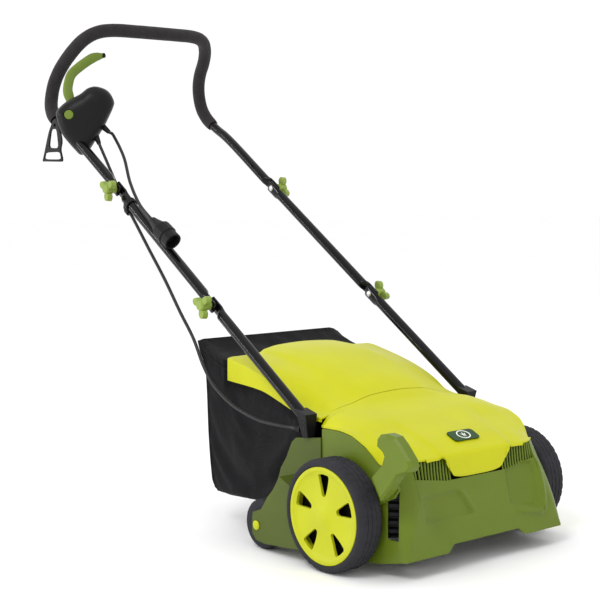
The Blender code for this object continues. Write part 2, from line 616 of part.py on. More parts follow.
boolean(depth_lever, cylinder("cut_lever_root", (-0.220, 0, FRONT_Z), (-0.200, 0, FRONT_Z), 0.0169, 24))
put_origin(smooth(depth_lever, 50), (0, CRANK_Y, CRANK_Z))

# ------------------------------------------------------------ front wheels
for side_name, side in SIDES:
    def at(depth):
        """x of a point so deep inside the wheel's outer face."""
        return side * (TYRE_OUT - depth)
    rim = turned_x("front_rim_" + side_name,
                   [(at(0.0440), 0.0076), (at(0.0090), 0.0076), (at(0.0080), 0.0), (at(0.0010), 0.0),
                    (at(0.0010), 0.0100), (at(0.0035), 0.0180), (at(0.0060), 0.0500), (at(0.0030), 0.0780),
                    (at(0.0015), 0.0840), (at(0.0030), HUB_R), (at(0.0460), HUB_R), (at(0.0460), 0.0810),
                    (at(0.0100), 0.0780), (at(0.0110), 0.0500), (at(0.0110), 0.0160), (at(0.0440), 0.0140)],
                   (0, FRONT_Z), 40, "lime")
    for k in range(5):
        a = math.radians(90 + 72 * k)
        wedge = []
        for r, w in ((0.0345, 0.0050), (0.058, 0.0120), (0.0725, 0.0132)):
            wedge.append((r, w))
        pts = [(r, -w) for r, w in wedge] + [(r, w) for r, w in reversed(wedge)]
        pts = [(y * math.cos(a) - z * math.sin(a), FRONT_Z + y * math.sin(a) + z * math.cos(a)) for y, z in pts]
        lo, hi = sorted((at(-0.004), at(0.020)))
        boolean(rim, prism_x("cut_window_%s_%d" % (side_name, k), pts, lo, hi))
    put_origin(smooth(rim, 35), (0, 0, FRONT_Z))
    tyre = turned_x("front_tyre_" + side_name,
                    [(at(0.0020), HUB_R + 0.0004), (at(0.0), 0.0915), (at(0.0030), 0.0975), (at(0.0080), FRONT_R),
                     (at(0.0455), FRONT_R), (at(0.0505), 0.0975), (at(0.0535), 0.0915), (at(0.0515), HUB_R + 0.0004)],
                    (0, FRONT_Z), 40, "tyre")
    put_origin(smooth(tyre, 50), (0, 0, FRONT_Z))

# ------------------------------------------------------------ handle tubes
def tube(name, stations, seg, material):
    """stations: (centre, half size along X, half size across, unit across)."""
    rings = []
    for centre, rx, ra, across in stations:
        rings.append([Vector(centre) + Vector((math.cos(t) * rx, 0, 0)) + Vector(across) * (math.sin(t) * ra)
                      for t in [2 * math.pi * m / seg for m in range(seg)]])
    return smooth(loft(name, rings, material), 60)


ACROSS = Vector((0, -math.sin(LEG_ANGLE), math.cos(LEG_ANGLE)))
FLAT_X, FLAT_A = 0.0037, 0.0125
OFF = 0.00405


def leg_stations(side, s0, s1, flat0, flat1, leg_x):
    """Straight tube from s0 to s1. flat0, flat1: 0 round, -1 flattened inboard, 1 outboard."""
    st = []

    def flat(s, which):
        st.append((on_leg(s, 0, side * (leg_x + which * OFF)), FLAT_X, FLAT_A, ACROSS))

    def round_(s):
        st.append((on_leg(s, 0, side * leg_x), TUBE_R, TUBE_R, ACROSS))
    if flat0:
        st.append((on_leg(s0, 0, side * (leg_x + flat0 * OFF)), FLAT_X * 0.8, FLAT_A * 0.6, ACROSS))
        flat(s0 + 0.004, flat0)
        flat(s0 + 0.034, flat0)
        round_(s0 + 0.050)
    else:
        round_(s0)
    if flat1:
        round_(s1 - 0.050)
        flat(s1 - 0.034, flat1)
        flat(s1 - 0.004, flat1)
        st.append((on_leg(s1, 0, side * (leg_x + flat1 * OFF)), FLAT_X * 0.8, FLAT_A * 0.6, ACROSS))
    else:
        round_(s1)
    return st


def hollow(obj, rings, skip_start, skip_end, wall=0.0013):
    """Opens a tube from inside; the bolt holes through its flat ends let the hollow out."""
    inner = []
    for ring in rings[1 if skip_start else 0:len(rings) - (1 if skip_end else 0)]:
        c = sum((Vector(p) for p in ring), Vector()) / len(ring)
        inner.append([c + (Vector(p) - c) * (1 - wall / (Vector(p) - c).length) for p in ring])
    if not skip_start:
        inner[0] = [p + (p - q).normalized() * 0.003 for p, q in zip(inner[0], inner[1])]
    boolean(obj, loft("cut_inside_" + obj.name, inner))


def station_rings(stations, seg=12):
    return [[Vector(c) + Vector((math.cos(t) * rx, 0, 0)) + Vector(across) * (math.sin(t) * ra)
             for t in [2 * math.pi * m / seg for m in range(seg)]] for c, rx, ra, across in stations]


END = 0.014
BOLTS = []
for side_name, side in SIDES:
    low_tube = tube("lower_tube_" + side_name,
                    leg_stations(side, -0.008, LOW_S + END, 0, -1, LEG_X), 12, "black_tube")
    mid_tube = tube("middle_tube_" + side_name,
                    leg_stations(side, LOW_S - END, UP_S + END, 1, -1, LEG_X), 12, "black_tube")
    hole_low = cylinder("cut_bolt_low_" + side_name, on_leg(LOW_S, 0, side * 0.195), on_leg(LOW_S, 0, side * 0.235),
                        0.0036, 10)
    hole_up = cylinder("cut_bolt_up_" + side_name, on_leg(UP_S, 0, side * 0.195), on_leg(UP_S, 0, side * 0.235),
                       0.0036, 10)
    hollow(low_tube, station_rings(leg_stations(side, -0.008, LOW_S + END, 0, -1, LEG_X)), False, True)
    hollow(mid_tube, station_rings(leg_stations(side, LOW_S - END, UP_S + END, 1, -1, LEG_X)), True, True)
    boolean(low_tube, hole_low)
    boolean(mid_tube, hole_low)
    boolean(mid_tube, hole_up)
    put_origin(mid_tube, on_leg(LOW_S))
    BOLTS.append((side, hole_up))
    for where, s in (("lower", LOW_S), ("upper", UP_S)):
        c = on_leg(s)
        bolt = turned_x("%s_bolt_%s" % (where, side_name),
                        [(side * 0.2020, 0.0), (side * 0.2028, 0.0050), (side * 0.2050, 0.0068),
                         (side * 0.2053, 0.0068), (side * 0.2053, 0.0030), (side * 0.2385, 0.0030),
                         (side * 0.2385, 0.0)], (c.y, c.z), 10, "steel")
        put_origin(bolt, (0, c.y, c.z))
        # three-lobed clamping knob
        knob = turned_x("%s_knob_%s" % (where, side_name),
                        [(side * 0.2222, 0.0034), (side * 0.2222, 0.0095), (side * 0.2440, 0.0110),
                         (side * 0.2470, 0.0090), (side * 0.2470, 0.0), (side * 0.2400, 0.0), (side * 0.2400, 0.0034)],
                        (c.y, c.z), 12, "green")
        turn0 = {"lower": 262, "upper": 268}[where] if side < 0 else {"lower": 80, "upper": 100}[where]
        bm = bmesh.new()
        for k in range(3):
            a = math.radians(turn0 + 120 * k)
            cone = bmesh.ops.create_cone(bm, cap_ends=True, segments=10, radius1=0.0082, radius2=0.0074, depth=0.0115)
            # stretch each lobe outwards
            for v in cone["verts"]:
                v.co = Vector((side * (0.2385 + v.co.z), 0.0165 + v.co.x * 1.25, v.co.y))
                v.co = Matrix.Rotation(a, 3, "X") @ v.co
                v.co += Vector((0, c.y, c.z))
        lobes = from_bmesh("add_lobes_%s_%s" % (where, side_name), bm)
        boolean(knob, lobes, "UNION")
        put_origin(smooth(knob, 40), (0, c.y, c.z))

    # socket on the rear housing, bored for the tube
    ring0 = [(side * x, y, 0.2222 - 0.124 * (y - 0.0695)) for x, y in ((0.2010, 0.0960), (0.2180, 0.0960), (0.2180, 0.1100), (0.2010, 0.1100))]
    ring1 = [(side * x, y, z) for x, y, z in ((0.1995, 0.0905, 0.2620), (0.2275, 0.0905, 0.2620),
                                              (0.2275, 0.1190, 0.2700), (0.1995, 0.1190, 0.2700))]
    socket = loft("handle_socket_" + side_name, [ring0, ring1], "black_plastic")
    boolean(socket, cylinder("cut_socket_" + side_name, on_leg(-0.0085, 0, side * LEG_X), on_leg(0.08, 0, side * LEG_X),
                             TUBE_R + 0.0004, 12))

# ------------------------------------------------------------ upper bar and foam
UPPER = [(0.2150, 0.820, 0.7471), (0.2160, 0.865, 0.7775), (0.2175, 0.900, 0.7985), (0.2195, 0.933, 0.8150),
         (0.2170, 0.963, 0.8370), (0.2120, 0.979, 0.8605), (0.2065, 0.983, 0.8860), (0.2005, 0.9790, 0.9140),
         (0.1930, 0.9630, 0.9440), (0.1830, 0.9320, 0.9770), (0.1680, 0.9080, 1.0020), (0.1450, 0.8885, 1.0180),
         (0.1090, 0.8750, 1.0240), (0.0550, 0.8670, 1.0240)]


def mirror_x(p):
    return (-p[0], p[1], p[2])


BAR_PATH = [mirror_x(p) for p in UPPER] + [(0.0, 0.866, 1.0240)] + list(reversed(UPPER))


def frames_along(points):
    out = []
    for k, p in enumerate(points):
        a, b = points[max(k - 1, 0)], points[min(k + 1, len(points) - 1)]
        t = Vector(b - a).normalized()
        out.append((Vector(p), t))
    return out


def sweep(name, points, radius, seg, material, up=Vector((1, 0, 0))):
    """A round sweep whose rings never twist: each is turned on from the one before."""
    frames = frames_along(points)
    normal = (up - frames[0][1] * up.dot(frames[0][1])).normalized()
    rings = []
    for p, t in frames:
        normal = (normal - t * normal.dot(t)).normalized()
        side_dir = t.cross(normal)
        rings.append([p + normal * math.cos(a) * radius + side_dir * math.sin(a) * radius
                      for a in [2 * math.pi * m / seg for m in range(seg)]])
    return loft(name, rings, material)


bar_mid = shift_curve(BAR_PATH, 46)
rings = []
start = leg_stations(-1, UP_S - END, 0.86, 1, 0, LEG_X)[:-1]
for centre, rx, ra, across in start:
    rings.append([Vector(centre) + Vector((math.cos(t) * rx, 0, 0)) + across * (math.sin(t) * ra)
                  for t in [2 * math.pi * m / 12 for m in range(12)]])
normal = Vector((1, 0, 0))
for p, t in frames_along(bar_mid):
    normal = (normal - t * normal.dot(t)).normalized()
    side_dir = normal.cross(t)
    ring = [p + normal * math.cos(a) * TUBE_R + side_dir * math.sin(a) * TUBE_R
            for a in [2 * math.pi * m / 12 for m in range(12)]]
    rings.append(ring)
end_ref = rings[-1]
tail = list(reversed(leg_stations(1, UP_S - END, 0.86, 1, 0, LEG_X)[:-1]))
# match the far leg's rings, point by point, to the last swept ring
last_c, last_t = frames_along(bar_mid)[-1]
for centre, rx, ra, across in tail:
    ring = []
    for q in end_ref:
        d = q - last_c
        cx, ca = d.x / TUBE_R, d.dot(ACROSS) / TUBE_R
        scale = math.hypot(cx, ca)
        ring.append(Vector(centre) + Vector((cx / scale * rx, 0, 0)) + ACROSS * (ca / scale * ra))
    rings.append(ring)
upper_bar = smooth(loft("upper_bar", rings, "black_tube"), 60)
hollow(upper_bar, rings, True, True)
for side, hole_up in BOLTS:
    boolean(upper_bar, hole_up)
boolean(upper_bar, cylinder("add_hook_pin", (-0.2200, 0.9280, 0.8125), (-0.2375, 0.9280, 0.8125), 0.0030, 10), "UNION")
put_origin(upper_bar, on_leg(UP_S))

first = int(np.argmin(np.linalg.norm(bar_mid[:20] - np.array([-0.2185, 0.945, 0.823]), axis=1)))
foam_pts = bar_mid[first:len(bar_mid) - first]
outer_rings, inner_rings = [], []
normal = Vector((1, 0, 0))
for p, t in frames_along(foam_pts):
    normal = (normal - t * normal.dot(t)).normalized()
    side_dir = t.cross(normal)
    outer_rings.append([p + (normal * math.cos(a) + side_dir * math.sin(a)) * 0.0148
                        for a in [2 * math.pi * m / 12 for m in range(12)]])
    inner_rings.append([p + (normal * math.cos(a) + side_dir * math.sin(a)) * (TUBE_R + 0.0006)
                        for a in [2 * math.pi * m / 12 for m in range(12)]])
foam = smooth(loft("foam_grip", outer_rings + list(reversed(inner_rings)), "foam", closed=True), 60)
put_origin(foam, on_leg(UP_S))

# ------------------------------------------------------------ switch box
BOX_C = Vector((-0.1850, 0.8600, 0.8150))
BOX_N = Vector((-0.5309, -0.8460, -0.0492)).normalized()
BOX_1 = Vector((0, 0, 1)).cross(BOX_N).normalized()
BOX_2 = BOX_N.cross(BOX_1)
BOX_FACE = [(0.0163, 0.0803), (0.0401, 0.0706), (0.0529, 0.0489), (0.0505, 0.0336), (0.0405, 0.0120), (0.0301, -0.0080),
            (0.0122, -0.0365), (-0.0058, -0.0629), (-0.0211, -0.0694), (-0.0340, -0.0584), (-0.0574, -0.0300),
            (-0.0670, -0.0110), (-0.0718, 0.0071), (-0.0736, 0.0245), (-0.0603, 0.0397), (-0.0450, 0.0507),
            (-0.0209, 0.0638), (-0.0033, 0.0769)]
BOX_DEPTH = [(-0.0350, 0.55), (-0.0310, 0.80), (-0.0180, 0.96), (0.0, 1.0), (0.0140, 0.98), (0.0260, 0.88),
             (0.0330, 0.68), (0.0355, 0.42)]


def box_point(a, b, t):
    return BOX_C + BOX_1 * a + BOX_2 * b + BOX_N * t


def box_rings(face):
    ma, mb = -0.008, 0.006
    return [[box_point(ma + (a - ma) * k, mb + (b - mb) * k, t) for a, b in face] for t, k in BOX_DEPTH]


switch_box = loft("switch_box", box_rings(BOX_FACE), "black_plastic")
room = [[box_point(-0.008 + (a + 0.008) * (k - 0.075), 0.006 + (b - 0.006) * (k - 0.075), t * 0.88) for a, b in BOX_FACE]
        for t, k in BOX_DEPTH[1:-1]]
boolean(switch_box, loft("cut_box_room", room))
bore_bar = sweep("cut_box_bore", bar_mid[:18], TUBE_R + 0.0006, 12, None)
boolean(switch_box, bore_bar)
boolean(switch_box, cylinder("cut_box_leg", on_leg(0.80, 0, -0.2135), on_leg(0.872, 0, -0.2150), TUBE_R + 0.0008, 12))

# switch lever: a curved blade that follows the grip
LEVER = [(-0.2165, 0.8935, 0.8440), (-0.2150, 0.8940, 0.8520), (-0.2127, 0.8960, 0.8650), (-0.2140, 0.9030, 0.8855),
         (-0.2080, 0.9100, 0.9035), (-0.1970, 0.9150, 0.9240), (-0.1785, 0.9130, 0.9410), (-0.1500, 0.9020, 0.9620),
         (-0.1252, 0.8950, 0.9691)]
LEVER_PIVOT = Vector((0.0, 0.8935, 0.8470))


def lever_rings(more_wide, more_thin, pts):
    rings = []
    last = len(pts) - 1
    for k, (p, t) in enumerate(frames_along(pts)):
        back = Vector((0.25, 1.0, 0.35))
        thin = (back - t * back.dot(t)).normalized()
        wide = t.cross(thin)
        grow = min(1.0, 0.55 + k / 6.0) * (1.0 if k < last - 1 else (0.8 if k == last - 1 else 0.45))
        ring = []
        for m in range(8):
            a = 2 * math.pi * (m + 0.5) / 8
            ring.append(p + wide * (math.cos(a) * (0.0112 * grow + more_wide))
                        + thin * (math.sin(a) * (0.0055 * min(1, grow + 0.2) + more_thin)))
        rings.append(ring)
    return rings


lever_pts = shift_curve(LEVER, 15)
slot_pts = [Vector(p) for p in lever_pts[:6]]
slot_pts[0] = slot_pts[0] - Vector((0, 0, 0.004))
boolean(switch_box, loft("cut_lever_slot", lever_rings(0.0020, 0.0040, slot_pts)))
BUTTON = box_point(-0.0452, 0.0185, 0.0300)
boolean(switch_box, cylinder("cut_button", BUTTON + BOX_N * 0.02, BUTTON - BOX_N * 0.0225, 0.0108, 16))
HOOK_PIVOT = Vector((0.0, 0.9280, 0.8125))
boolean(switch_box, cylinder("cut_hook_room", (-0.2362, HOOK_PIVOT.y, HOOK_PIVOT.z), (-0.2292, HOOK_PIVOT.y, HOOK_PIVOT.z),
                             0.0200, 20))
put_origin(smooth(switch_box, 50), on_leg(UP_S))
button = turned_x("safety_button", [(-0.0160, 0.0), (-0.0160, 0.0101), (0.0035, 0.0101), (0.0048, 0.0085),
                                    (0.0052, 0.0)], (0.0, 0.0), 16, "green")
button.data.transform(BOX_N.to_track_quat("X", "Z").to_matrix().to_4x4())
button.location = BUTTON
smooth(button)

lever = loft("switch_lever", lever_rings(0.0, 0.0, lever_pts), "green")
put_origin(smooth(lever, 50), LEVER_PIVOT)

# cord hook, hanging from a pin on the outside of the bar
hook_outline = [(0.9420, 0.8155), (0.9370, 0.8230), (0.9280, 0.8265), (0.9190, 0.8230), (0.9142, 0.8155),
                (0.8975, 0.7780), (0.9067, 0.7570), (0.8980, 0.7312), (0.9850, 0.7330), (0.9570, 0.7955)]
hook = prism_x("cord_hook", list(reversed(hook_outline)), -0.2345, -0.2310, "black_plastic")
boolean(hook, cylinder("cut_hook_pin", (-0.24, HOOK_PIVOT.y, HOOK_PIVOT.z), (-0.225, HOOK_PIVOT.y, HOOK_PIVOT.z), 0.0034, 12))
boolean(hook, prism_x("cut_hook_low", [(0.9080, 0.7383), (0.9690, 0.7400), (0.9650, 0.7500), (0.9120, 0.7500)], -0.25, -0.22))
boolean(hook, prism_x("cut_hook_high", [(0.9180, 0.7650), (0.9480, 0.7690), (0.9420, 0.7990), (0.9240, 0.7990)], -0.25, -0.22))
put_origin(hook, HOOK_PIVOT)

# ------------------------------------------------------------ bag
BAG_Y = 0.137              # mouth, between the sides of the rear housing


def bag_rear_y(z):
    return float(np.interp(z, [0.055, 0.075, 0.169, 0.299, 0.330, 0.352, 0.372],
                           [0.394, 0.409, 0.4237, 0.4313, 0.440, 0.455, 0.463]))


def bag_point(side, level, v):
    """level 0 bottom .. 1 top; v 0 mouth .. 1 rear."""
    y0 = BAG_Y + (0.300 - BAG_Y) * v / 0.5 if v < 0.5 else 0.300 + (0.445 - 0.300) * (v - 0.5) / 0.5
    low = float(np.interp(y0, [0.212, 0.235, 0.300, 0.390], [0.0960, 0.0720, 0.0660, 0.0630]))
    high = float(np.interp(y0, [0.137, 0.170, 0.220, 0.300, 0.362, 0.400, 0.445],
                           [0.2430, 0.2660, 0.2930, 0.3180, 0.3320, 0.3450, 0.3680]))
    z = low + (high - low) * level
    y = BAG_Y + (bag_rear_y(z) - BAG_Y) * (y0 - BAG_Y) / (0.445 - BAG_Y)
    cheek = float(np.interp(y, [0.1225, 0.160, 0.206, 0.260, 0.362], [0.248, 0.256, 0.271, 0.286, 0.295])) - 0.018
    narrow = 0.0 if y > 0.374 else float(np.clip((z - cheek) / 0.010, 0.0, 1.0))
    width = 0.1975 - 0.0105 * narrow - 0.004 * v
    return (side * width, y, z)


levels = [0.0, 0.04, 0.3, 0.55, 0.74, 0.86, 0.96, 1.0]
inset = {0.0: 0.93, 1.0: 0.95}
vs = [0.0, 0.12, 0.23, 0.30, 0.40, 0.5, 0.71, 0.78, 0.93, 1.0]
bm = bmesh.new()
rings = []
for v in vs:
    ring = []
    for level in levels:
        x, y, z = bag_point(-1, level, v)
        ring.append((x * inset.get(level, 1.0), y, z))
    for x in (-0.09, 0.0, 0.09):
        _, y, z = bag_point(1, 1.0, v)
        ring.append((x, y, z))
    for level in reversed(levels):
        x, y, z = bag_point(1, level, v)
        ring.append((x * inset.get(level, 1.0), y, z))
    for x in (0.09, 0.0, -0.09):
        _, y, z = bag_point(1, 0.0, v)
        ring.append((x, y, z))
    rings.append([bm.verts.new(p) for p in ring])
for k in range(len(rings) - 1):
    n = len(rings[0])
    for i in range(n):
        j = (i + 1) % n
        bm.faces.new((rings[k][i], rings[k][j], rings[k + 1][j], rings[k + 1][i]))
bm.faces.new(rings[-1])
bmesh.ops.triangulate(bm, faces=[f for f in bm.faces if len(f.verts) > 4])
bmesh.ops.recalc_face_normals(bm, faces=bm.faces)
bag = from_bmesh("bag_fabric", bm, "fabric", outward=False)
wall = bag.modifiers.new("wall", "SOLIDIFY")
wall.thickness = 0.002
wall.offset = -1.0

frame_pts = []
corners = [(-1, 0.10), (1, 0.10), (1, 0.93), (-1, 0.93)]
for side, level in corners:
    x, y, z = bag_point(side, level, 0.0)
    frame_pts.append(Vector((x * 0.955, y + 0.0060, z)))
loop = []
for k in range(4):
    a, b, c = frame_pts[k - 1], frame_pts[k], frame_pts[(k + 1) % 4]
    r = 0.03
    p0, p1 = b + (a - b).normalized() * r, b + (c - b).normalized() * r
    for t in (0.0, 0.33, 0.67, 1.0):
        loop.append(p0 * (1 - t) ** 2 + b * 2 * t * (1 - t) + p1 * t ** 2)
rings = []
n = len(loop)
plane = (frame_pts[1] - frame_pts[0]).cross(frame_pts[2] - frame_pts[1]).normalized()
for k in range(n):
    t = (loop[(k + 1) % n] - loop[k - 1]).normalized()
    side_dir = t.cross(plane)
    rings.append([loop[k] + plane * math.cos(a) * 0.003 + side_dir * math.sin(a) * 0.003
                  for a in [2 * math.pi * m / 8 for m in range(8)]])
loft("bag_frame", rings, "steel", closed=True)

# ------------------------------------------------------------ cables
CORD_D = 0.0068
CLIP_S = 0.678
clip_c = on_leg(CLIP_S, 0, -LEG_X)
# clip: a collar on the middle tube with an eye under it
collar = turned_x("cable_clip", [(-0.006, TUBE_R + 0.0005), (0.006, TUBE_R + 0.0005), (0.006, TUBE_R + 0.0030),
                                 (-0.006, TUBE_R + 0.0030)], (0.0, 0.0), 16, "black_plastic")
eye = turned_x("add_clip_eye", [(-0.006, CORD_D / 2 + 0.0006), (0.006, CORD_D / 2 + 0.0006),
                                (0.006, CORD_D / 2 + 0.0030), (-0.006, CORD_D / 2 + 0.0030)], (0.0, 0.0), 12)
# the collar's axis lies along the leg
to_leg = Matrix(((0, 1, 0), (math.cos(LEG_ANGLE), 0, -math.sin(LEG_ANGLE)),
                 (math.sin(LEG_ANGLE), 0, math.cos(LEG_ANGLE)))).to_4x4()
EYE_X, EYE_OFF = -0.2135, -0.0187
for piece, shift in ((collar, clip_c), (eye, on_leg(CLIP_S, EYE_OFF, EYE_X))):
    piece.data.transform(to_leg)
    if to_leg.determinant() < 0:
        piece.data.flip_normals()
    piece.data.transform(Matrix.Translation(shift))
boolean(collar, eye, "UNION")
put_origin(collar, on_leg(LOW_S))


def cord(name, points, count):
    pts = shift_curve(points, count)
    data = bpy.data.curves.new(name, "CURVE")
    data.dimensions = "3D"
    spline = data.splines.new("POLY")
    spline.points.add(len(pts) - 1)
    for k, p in enumerate(pts):
        spline.points[k].co = (*p, 1.0)
    data.bevel_depth = CORD_D / 2
    data.bevel_resolution = 2
    data.use_fill_caps = True
    data.materials.append(MATERIALS["cable"])
    obj = bpy.data.objects.new(name, data)
    obj.parent = MACHINE
    PARTS.objects.link(obj)
    return obj, pts


EYE = on_leg(CLIP_S, EYE_OFF, EYE_X)
ALONG = Vector((0, math.cos(LEG_ANGLE), math.sin(LEG_ANGLE)))
GLAND_M = Vector((-0.1818, 0.8420, 0.7867))      # motor cable leaves the box here
GLAND_S = Vector((-0.1659, 0.8366, 0.8065))      # supply lead leaves the box here
OUT_M = Vector((0.055, -0.520, -0.855)).normalized()
OUT_S = Vector((0.180, -0.800, -0.560)).normalized()
for name, where, way in (("motor_gland", GLAND_M, OUT_M), ("supply_gland", GLAND_S, OUT_S)):
    g = cylinder(name, where - way * 0.004, where + way * 0.020, 0.0072, 12, "rubber", 0.0048)
    boolean(g, cylinder("cut_" + name, where - way * 0.01, where + way * 0.024, CORD_D / 2 + 0.0005, 10))
    put_origin(g, on_leg(UP_S))
    boolean(switch_box, cylinder("cut_box_" + name, where - way * 0.006, where + way * 0.030, 0.0076, 12))

m0 = GLAND_M + OUT_M * 0.001
upper_run = [m0, GLAND_M + OUT_M * 0.022, Vector((-0.1784, 0.8164, 0.7446)), Vector((-0.1850, 0.7737, 0.7004)),
             Vector((-0.1890, 0.7484, 0.6744)), Vector((-0.1985, 0.7080, 0.6440)),
             EYE + ALONG * 0.014, EYE + ALONG * 0.0072]
cord("motor_cable_upper", upper_run, 16)
DECK_IN = Vector((-0.2090, 0.1275, 0.2300))
lower_run = [EYE - ALONG * 0.0072, EYE - ALONG * 0.020, Vector((-0.2160, 0.5910, 0.5430)), Vector((-0.2180, 0.5350, 0.4850)),
             Vector((-0.2200, 0.4810, 0.4230)), Vector((-0.2220, 0.4350, 0.3740)), Vector((-0.2240, 0.4000, 0.3230)),
             Vector((-0.2240, 0.3650, 0.2870)), Vector((-0.2230, 0.3100, 0.2560)), Vector((-0.2200, 0.2400, 0.2360)),
             Vector((-0.2140, 0.1850, 0.2310)), Vector((-0.2095, 0.1550, 0.2302)), DECK_IN + Vector((0, 0.014, 0)), DECK_IN]
cord("motor_cable_lower", lower_run, 44)
gland = cylinder("deck_gland", DECK_IN + Vector((0.0, -0.0045, 0.0)), DECK_IN + Vector((0.0, 0.0110, 0.0)), 0.0066, 12,
                 "rubber", 0.0050)
gland.data.transform(Matrix.Translation((0, 0.0, 0)))
boolean(gland, cylinder("cut_deck_gland", DECK_IN + Vector((0, -0.0005, 0)), DECK_IN + Vector((0, 0.02, 0)),
                        CORD_D / 2 + 0.0005, 10))

s0 = GLAND_S + OUT_S * 0.001
PLUG_A = Vector((-0.2268, 0.5642, 0.6064))
PLUG_B = Vector((-0.2212, 0.4841, 0.5534))
PLUG_DIR = (PLUG_B - PLUG_A).normalized()
supply_run = [s0, GLAND_S + OUT_S * 0.022, Vector((-0.1590, 0.8073, 0.7870)), Vector((-0.1769, 0.7409, 0.7385)),
              Vector((-0.1987, 0.6858, 0.6845)), Vector((-0.2145, 0.6300, 0.6400)),
              PLUG_A - PLUG_DIR * 0.016, PLUG_A - PLUG_DIR * 0.0004]
cord("supply_lead", supply_run, 20)
plug_profile = [(0.0, 0.0), (0.0, 0.0075), (0.012, 0.0105), (0.030, 0.0160), (0.034, 0.0205), (0.058, 0.0205),
                (0.059, 0.0185), (0.078, 0.0185), (0.078, 0.0150), (0.062, 0.0150), (0.062, 0.0)]
plug = turned_x("plug", [(x, r) for x, r in plug_profile], (0.0, 0.0), 14, "black_plastic")
turn = PLUG_DIR.to_track_quat("X", "Z").to_matrix().to_4x4()
plug.data.transform(Matrix.Translation(PLUG_A) @ turn)
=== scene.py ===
"""Looks for the electric lawn dethatcher: camera, cords, soft bag, moulded details,
materials, floor and lights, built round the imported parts. Metres, +Z up."""
import json
import math

import bmesh
import bpy
import numpy as np
from mathutils import Matrix, Vector, noise

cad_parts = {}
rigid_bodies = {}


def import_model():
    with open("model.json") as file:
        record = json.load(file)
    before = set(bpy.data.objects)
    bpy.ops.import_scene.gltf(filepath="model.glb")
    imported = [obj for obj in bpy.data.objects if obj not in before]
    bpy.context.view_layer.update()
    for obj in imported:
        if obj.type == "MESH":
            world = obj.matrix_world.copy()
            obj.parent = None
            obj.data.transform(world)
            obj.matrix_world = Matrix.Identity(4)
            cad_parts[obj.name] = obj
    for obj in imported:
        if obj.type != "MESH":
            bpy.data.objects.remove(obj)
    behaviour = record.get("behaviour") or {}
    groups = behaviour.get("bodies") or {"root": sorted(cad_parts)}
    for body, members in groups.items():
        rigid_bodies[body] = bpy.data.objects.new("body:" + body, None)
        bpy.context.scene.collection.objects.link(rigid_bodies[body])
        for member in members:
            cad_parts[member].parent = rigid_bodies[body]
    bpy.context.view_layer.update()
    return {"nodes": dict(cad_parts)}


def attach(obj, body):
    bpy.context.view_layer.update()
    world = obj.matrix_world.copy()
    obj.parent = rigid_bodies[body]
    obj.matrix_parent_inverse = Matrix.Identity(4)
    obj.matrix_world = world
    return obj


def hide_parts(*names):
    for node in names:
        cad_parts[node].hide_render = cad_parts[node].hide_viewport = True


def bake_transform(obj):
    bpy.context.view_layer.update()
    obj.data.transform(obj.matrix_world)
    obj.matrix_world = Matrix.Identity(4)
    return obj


for old in list(bpy.data.objects):
    bpy.data.objects.remove(old, do_unlink=True)

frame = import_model()
NODES = frame["nodes"]
AXLE = -0.40032          # y of the front axle; shapes below are laid out from it
ROOT = bpy.context.scene.collection


def F(x, y, z):
    """A point laid out from the front axle, in the row frame."""
    return Vector((x, y + AXLE, z))


# ---------------------------------------------------------------- camera
yaw, pitch, roll = math.radians(40.62), math.radians(4.46), math.radians(-0.33)
fw = Vector((math.sin(yaw) * math.cos(pitch), math.cos(yaw) * math.cos(pitch), -math.sin(pitch)))
right = Vector((math.cos(yaw), -math.sin(yaw), 0))
up = right.cross(fw)
right2 = right * math.cos(roll) + up * math.sin(roll)
up2 = -right * math.sin(roll) + up * math.cos(roll)
cam_data = bpy.data.cameras.new("camera")
cam_data.sensor_width = 36.0
cam_data.lens = 83.16
cam = bpy.data.objects.new("camera", cam_data)
ROOT.objects.link(cam)
m = Matrix((right2, up2, -fw)).transposed().to_4x4()
m.translation = Vector((-1.8378, -2.17412, 0.6617))
cam.matrix_world = m
bpy.context.scene.camera = cam


# ---------------------------------------------------------------- curves and meshes
def smooth_path(points, count):
    """Points evenly spaced along a smooth curve through the given ones."""
    p = np.array([tuple(q) for q in points], float)
    p = np.vstack([2 * p[0] - p[1], p, 2 * p[-1] - p[-2]])
    fine = []
    for i in range(1, len(p) - 2):
        for t in np.linspace(0, 1, 24, endpoint=False):
            a, b, c, d = p[i - 1], p[i], p[i + 1], p[i + 2]
            fine.append(0.5 * (2 * b + (c - a) * t + (2 * a - 5 * b + 4 * c - d) * t ** 2
                               + (3 * b - a - 3 * c + d) * t ** 3))
    fine.append(p[-2])
    fine = np.array(fine)
    run = np.r_[0, np.cumsum(np.linalg.norm(np.diff(fine, axis=0), axis=1))]
    at = np.linspace(0, run[-1], count)
    return [Vector([float(np.interp(s, run, fine[:, k])) for k in range(3)]) for s in at]


def smooth_table(x, xs, ys):
    """Reads a table as a curve without corners or overshoot."""
    xs, ys = np.asarray(xs, float), np.asarray(ys, float)
    if x <= xs[0]:
        return float(ys[0])
    if x >= xs[-1]:
        return float(ys[-1])
    h, d = np.diff(xs), np.diff(ys) / np.diff(xs)
    slope = np.zeros(len(xs))
    slope[0], slope[-1] = d[0], d[-1]
    for k in range(1, len(xs) - 1):
        if d[k - 1] * d[k] > 0:
            w1, w2 = 2 * h[k] + h[k - 1], h[k] + 2 * h[k - 1]
            slope[k] = (w1 + w2) / (w1 / d[k - 1] + w2 / d[k])
    k = int(np.searchsorted(xs, x) - 1)
    t = (x - xs[k]) / h[k]
    return float((2 * t ** 3 - 3 * t ** 2 + 1) * ys[k] + (t ** 3 - 2 * t ** 2 + t) * h[k] * slope[k]
                 + (-2 * t ** 3 + 3 * t ** 2) * ys[k + 1] + (t ** 3 - t ** 2) * h[k] * slope[k + 1])


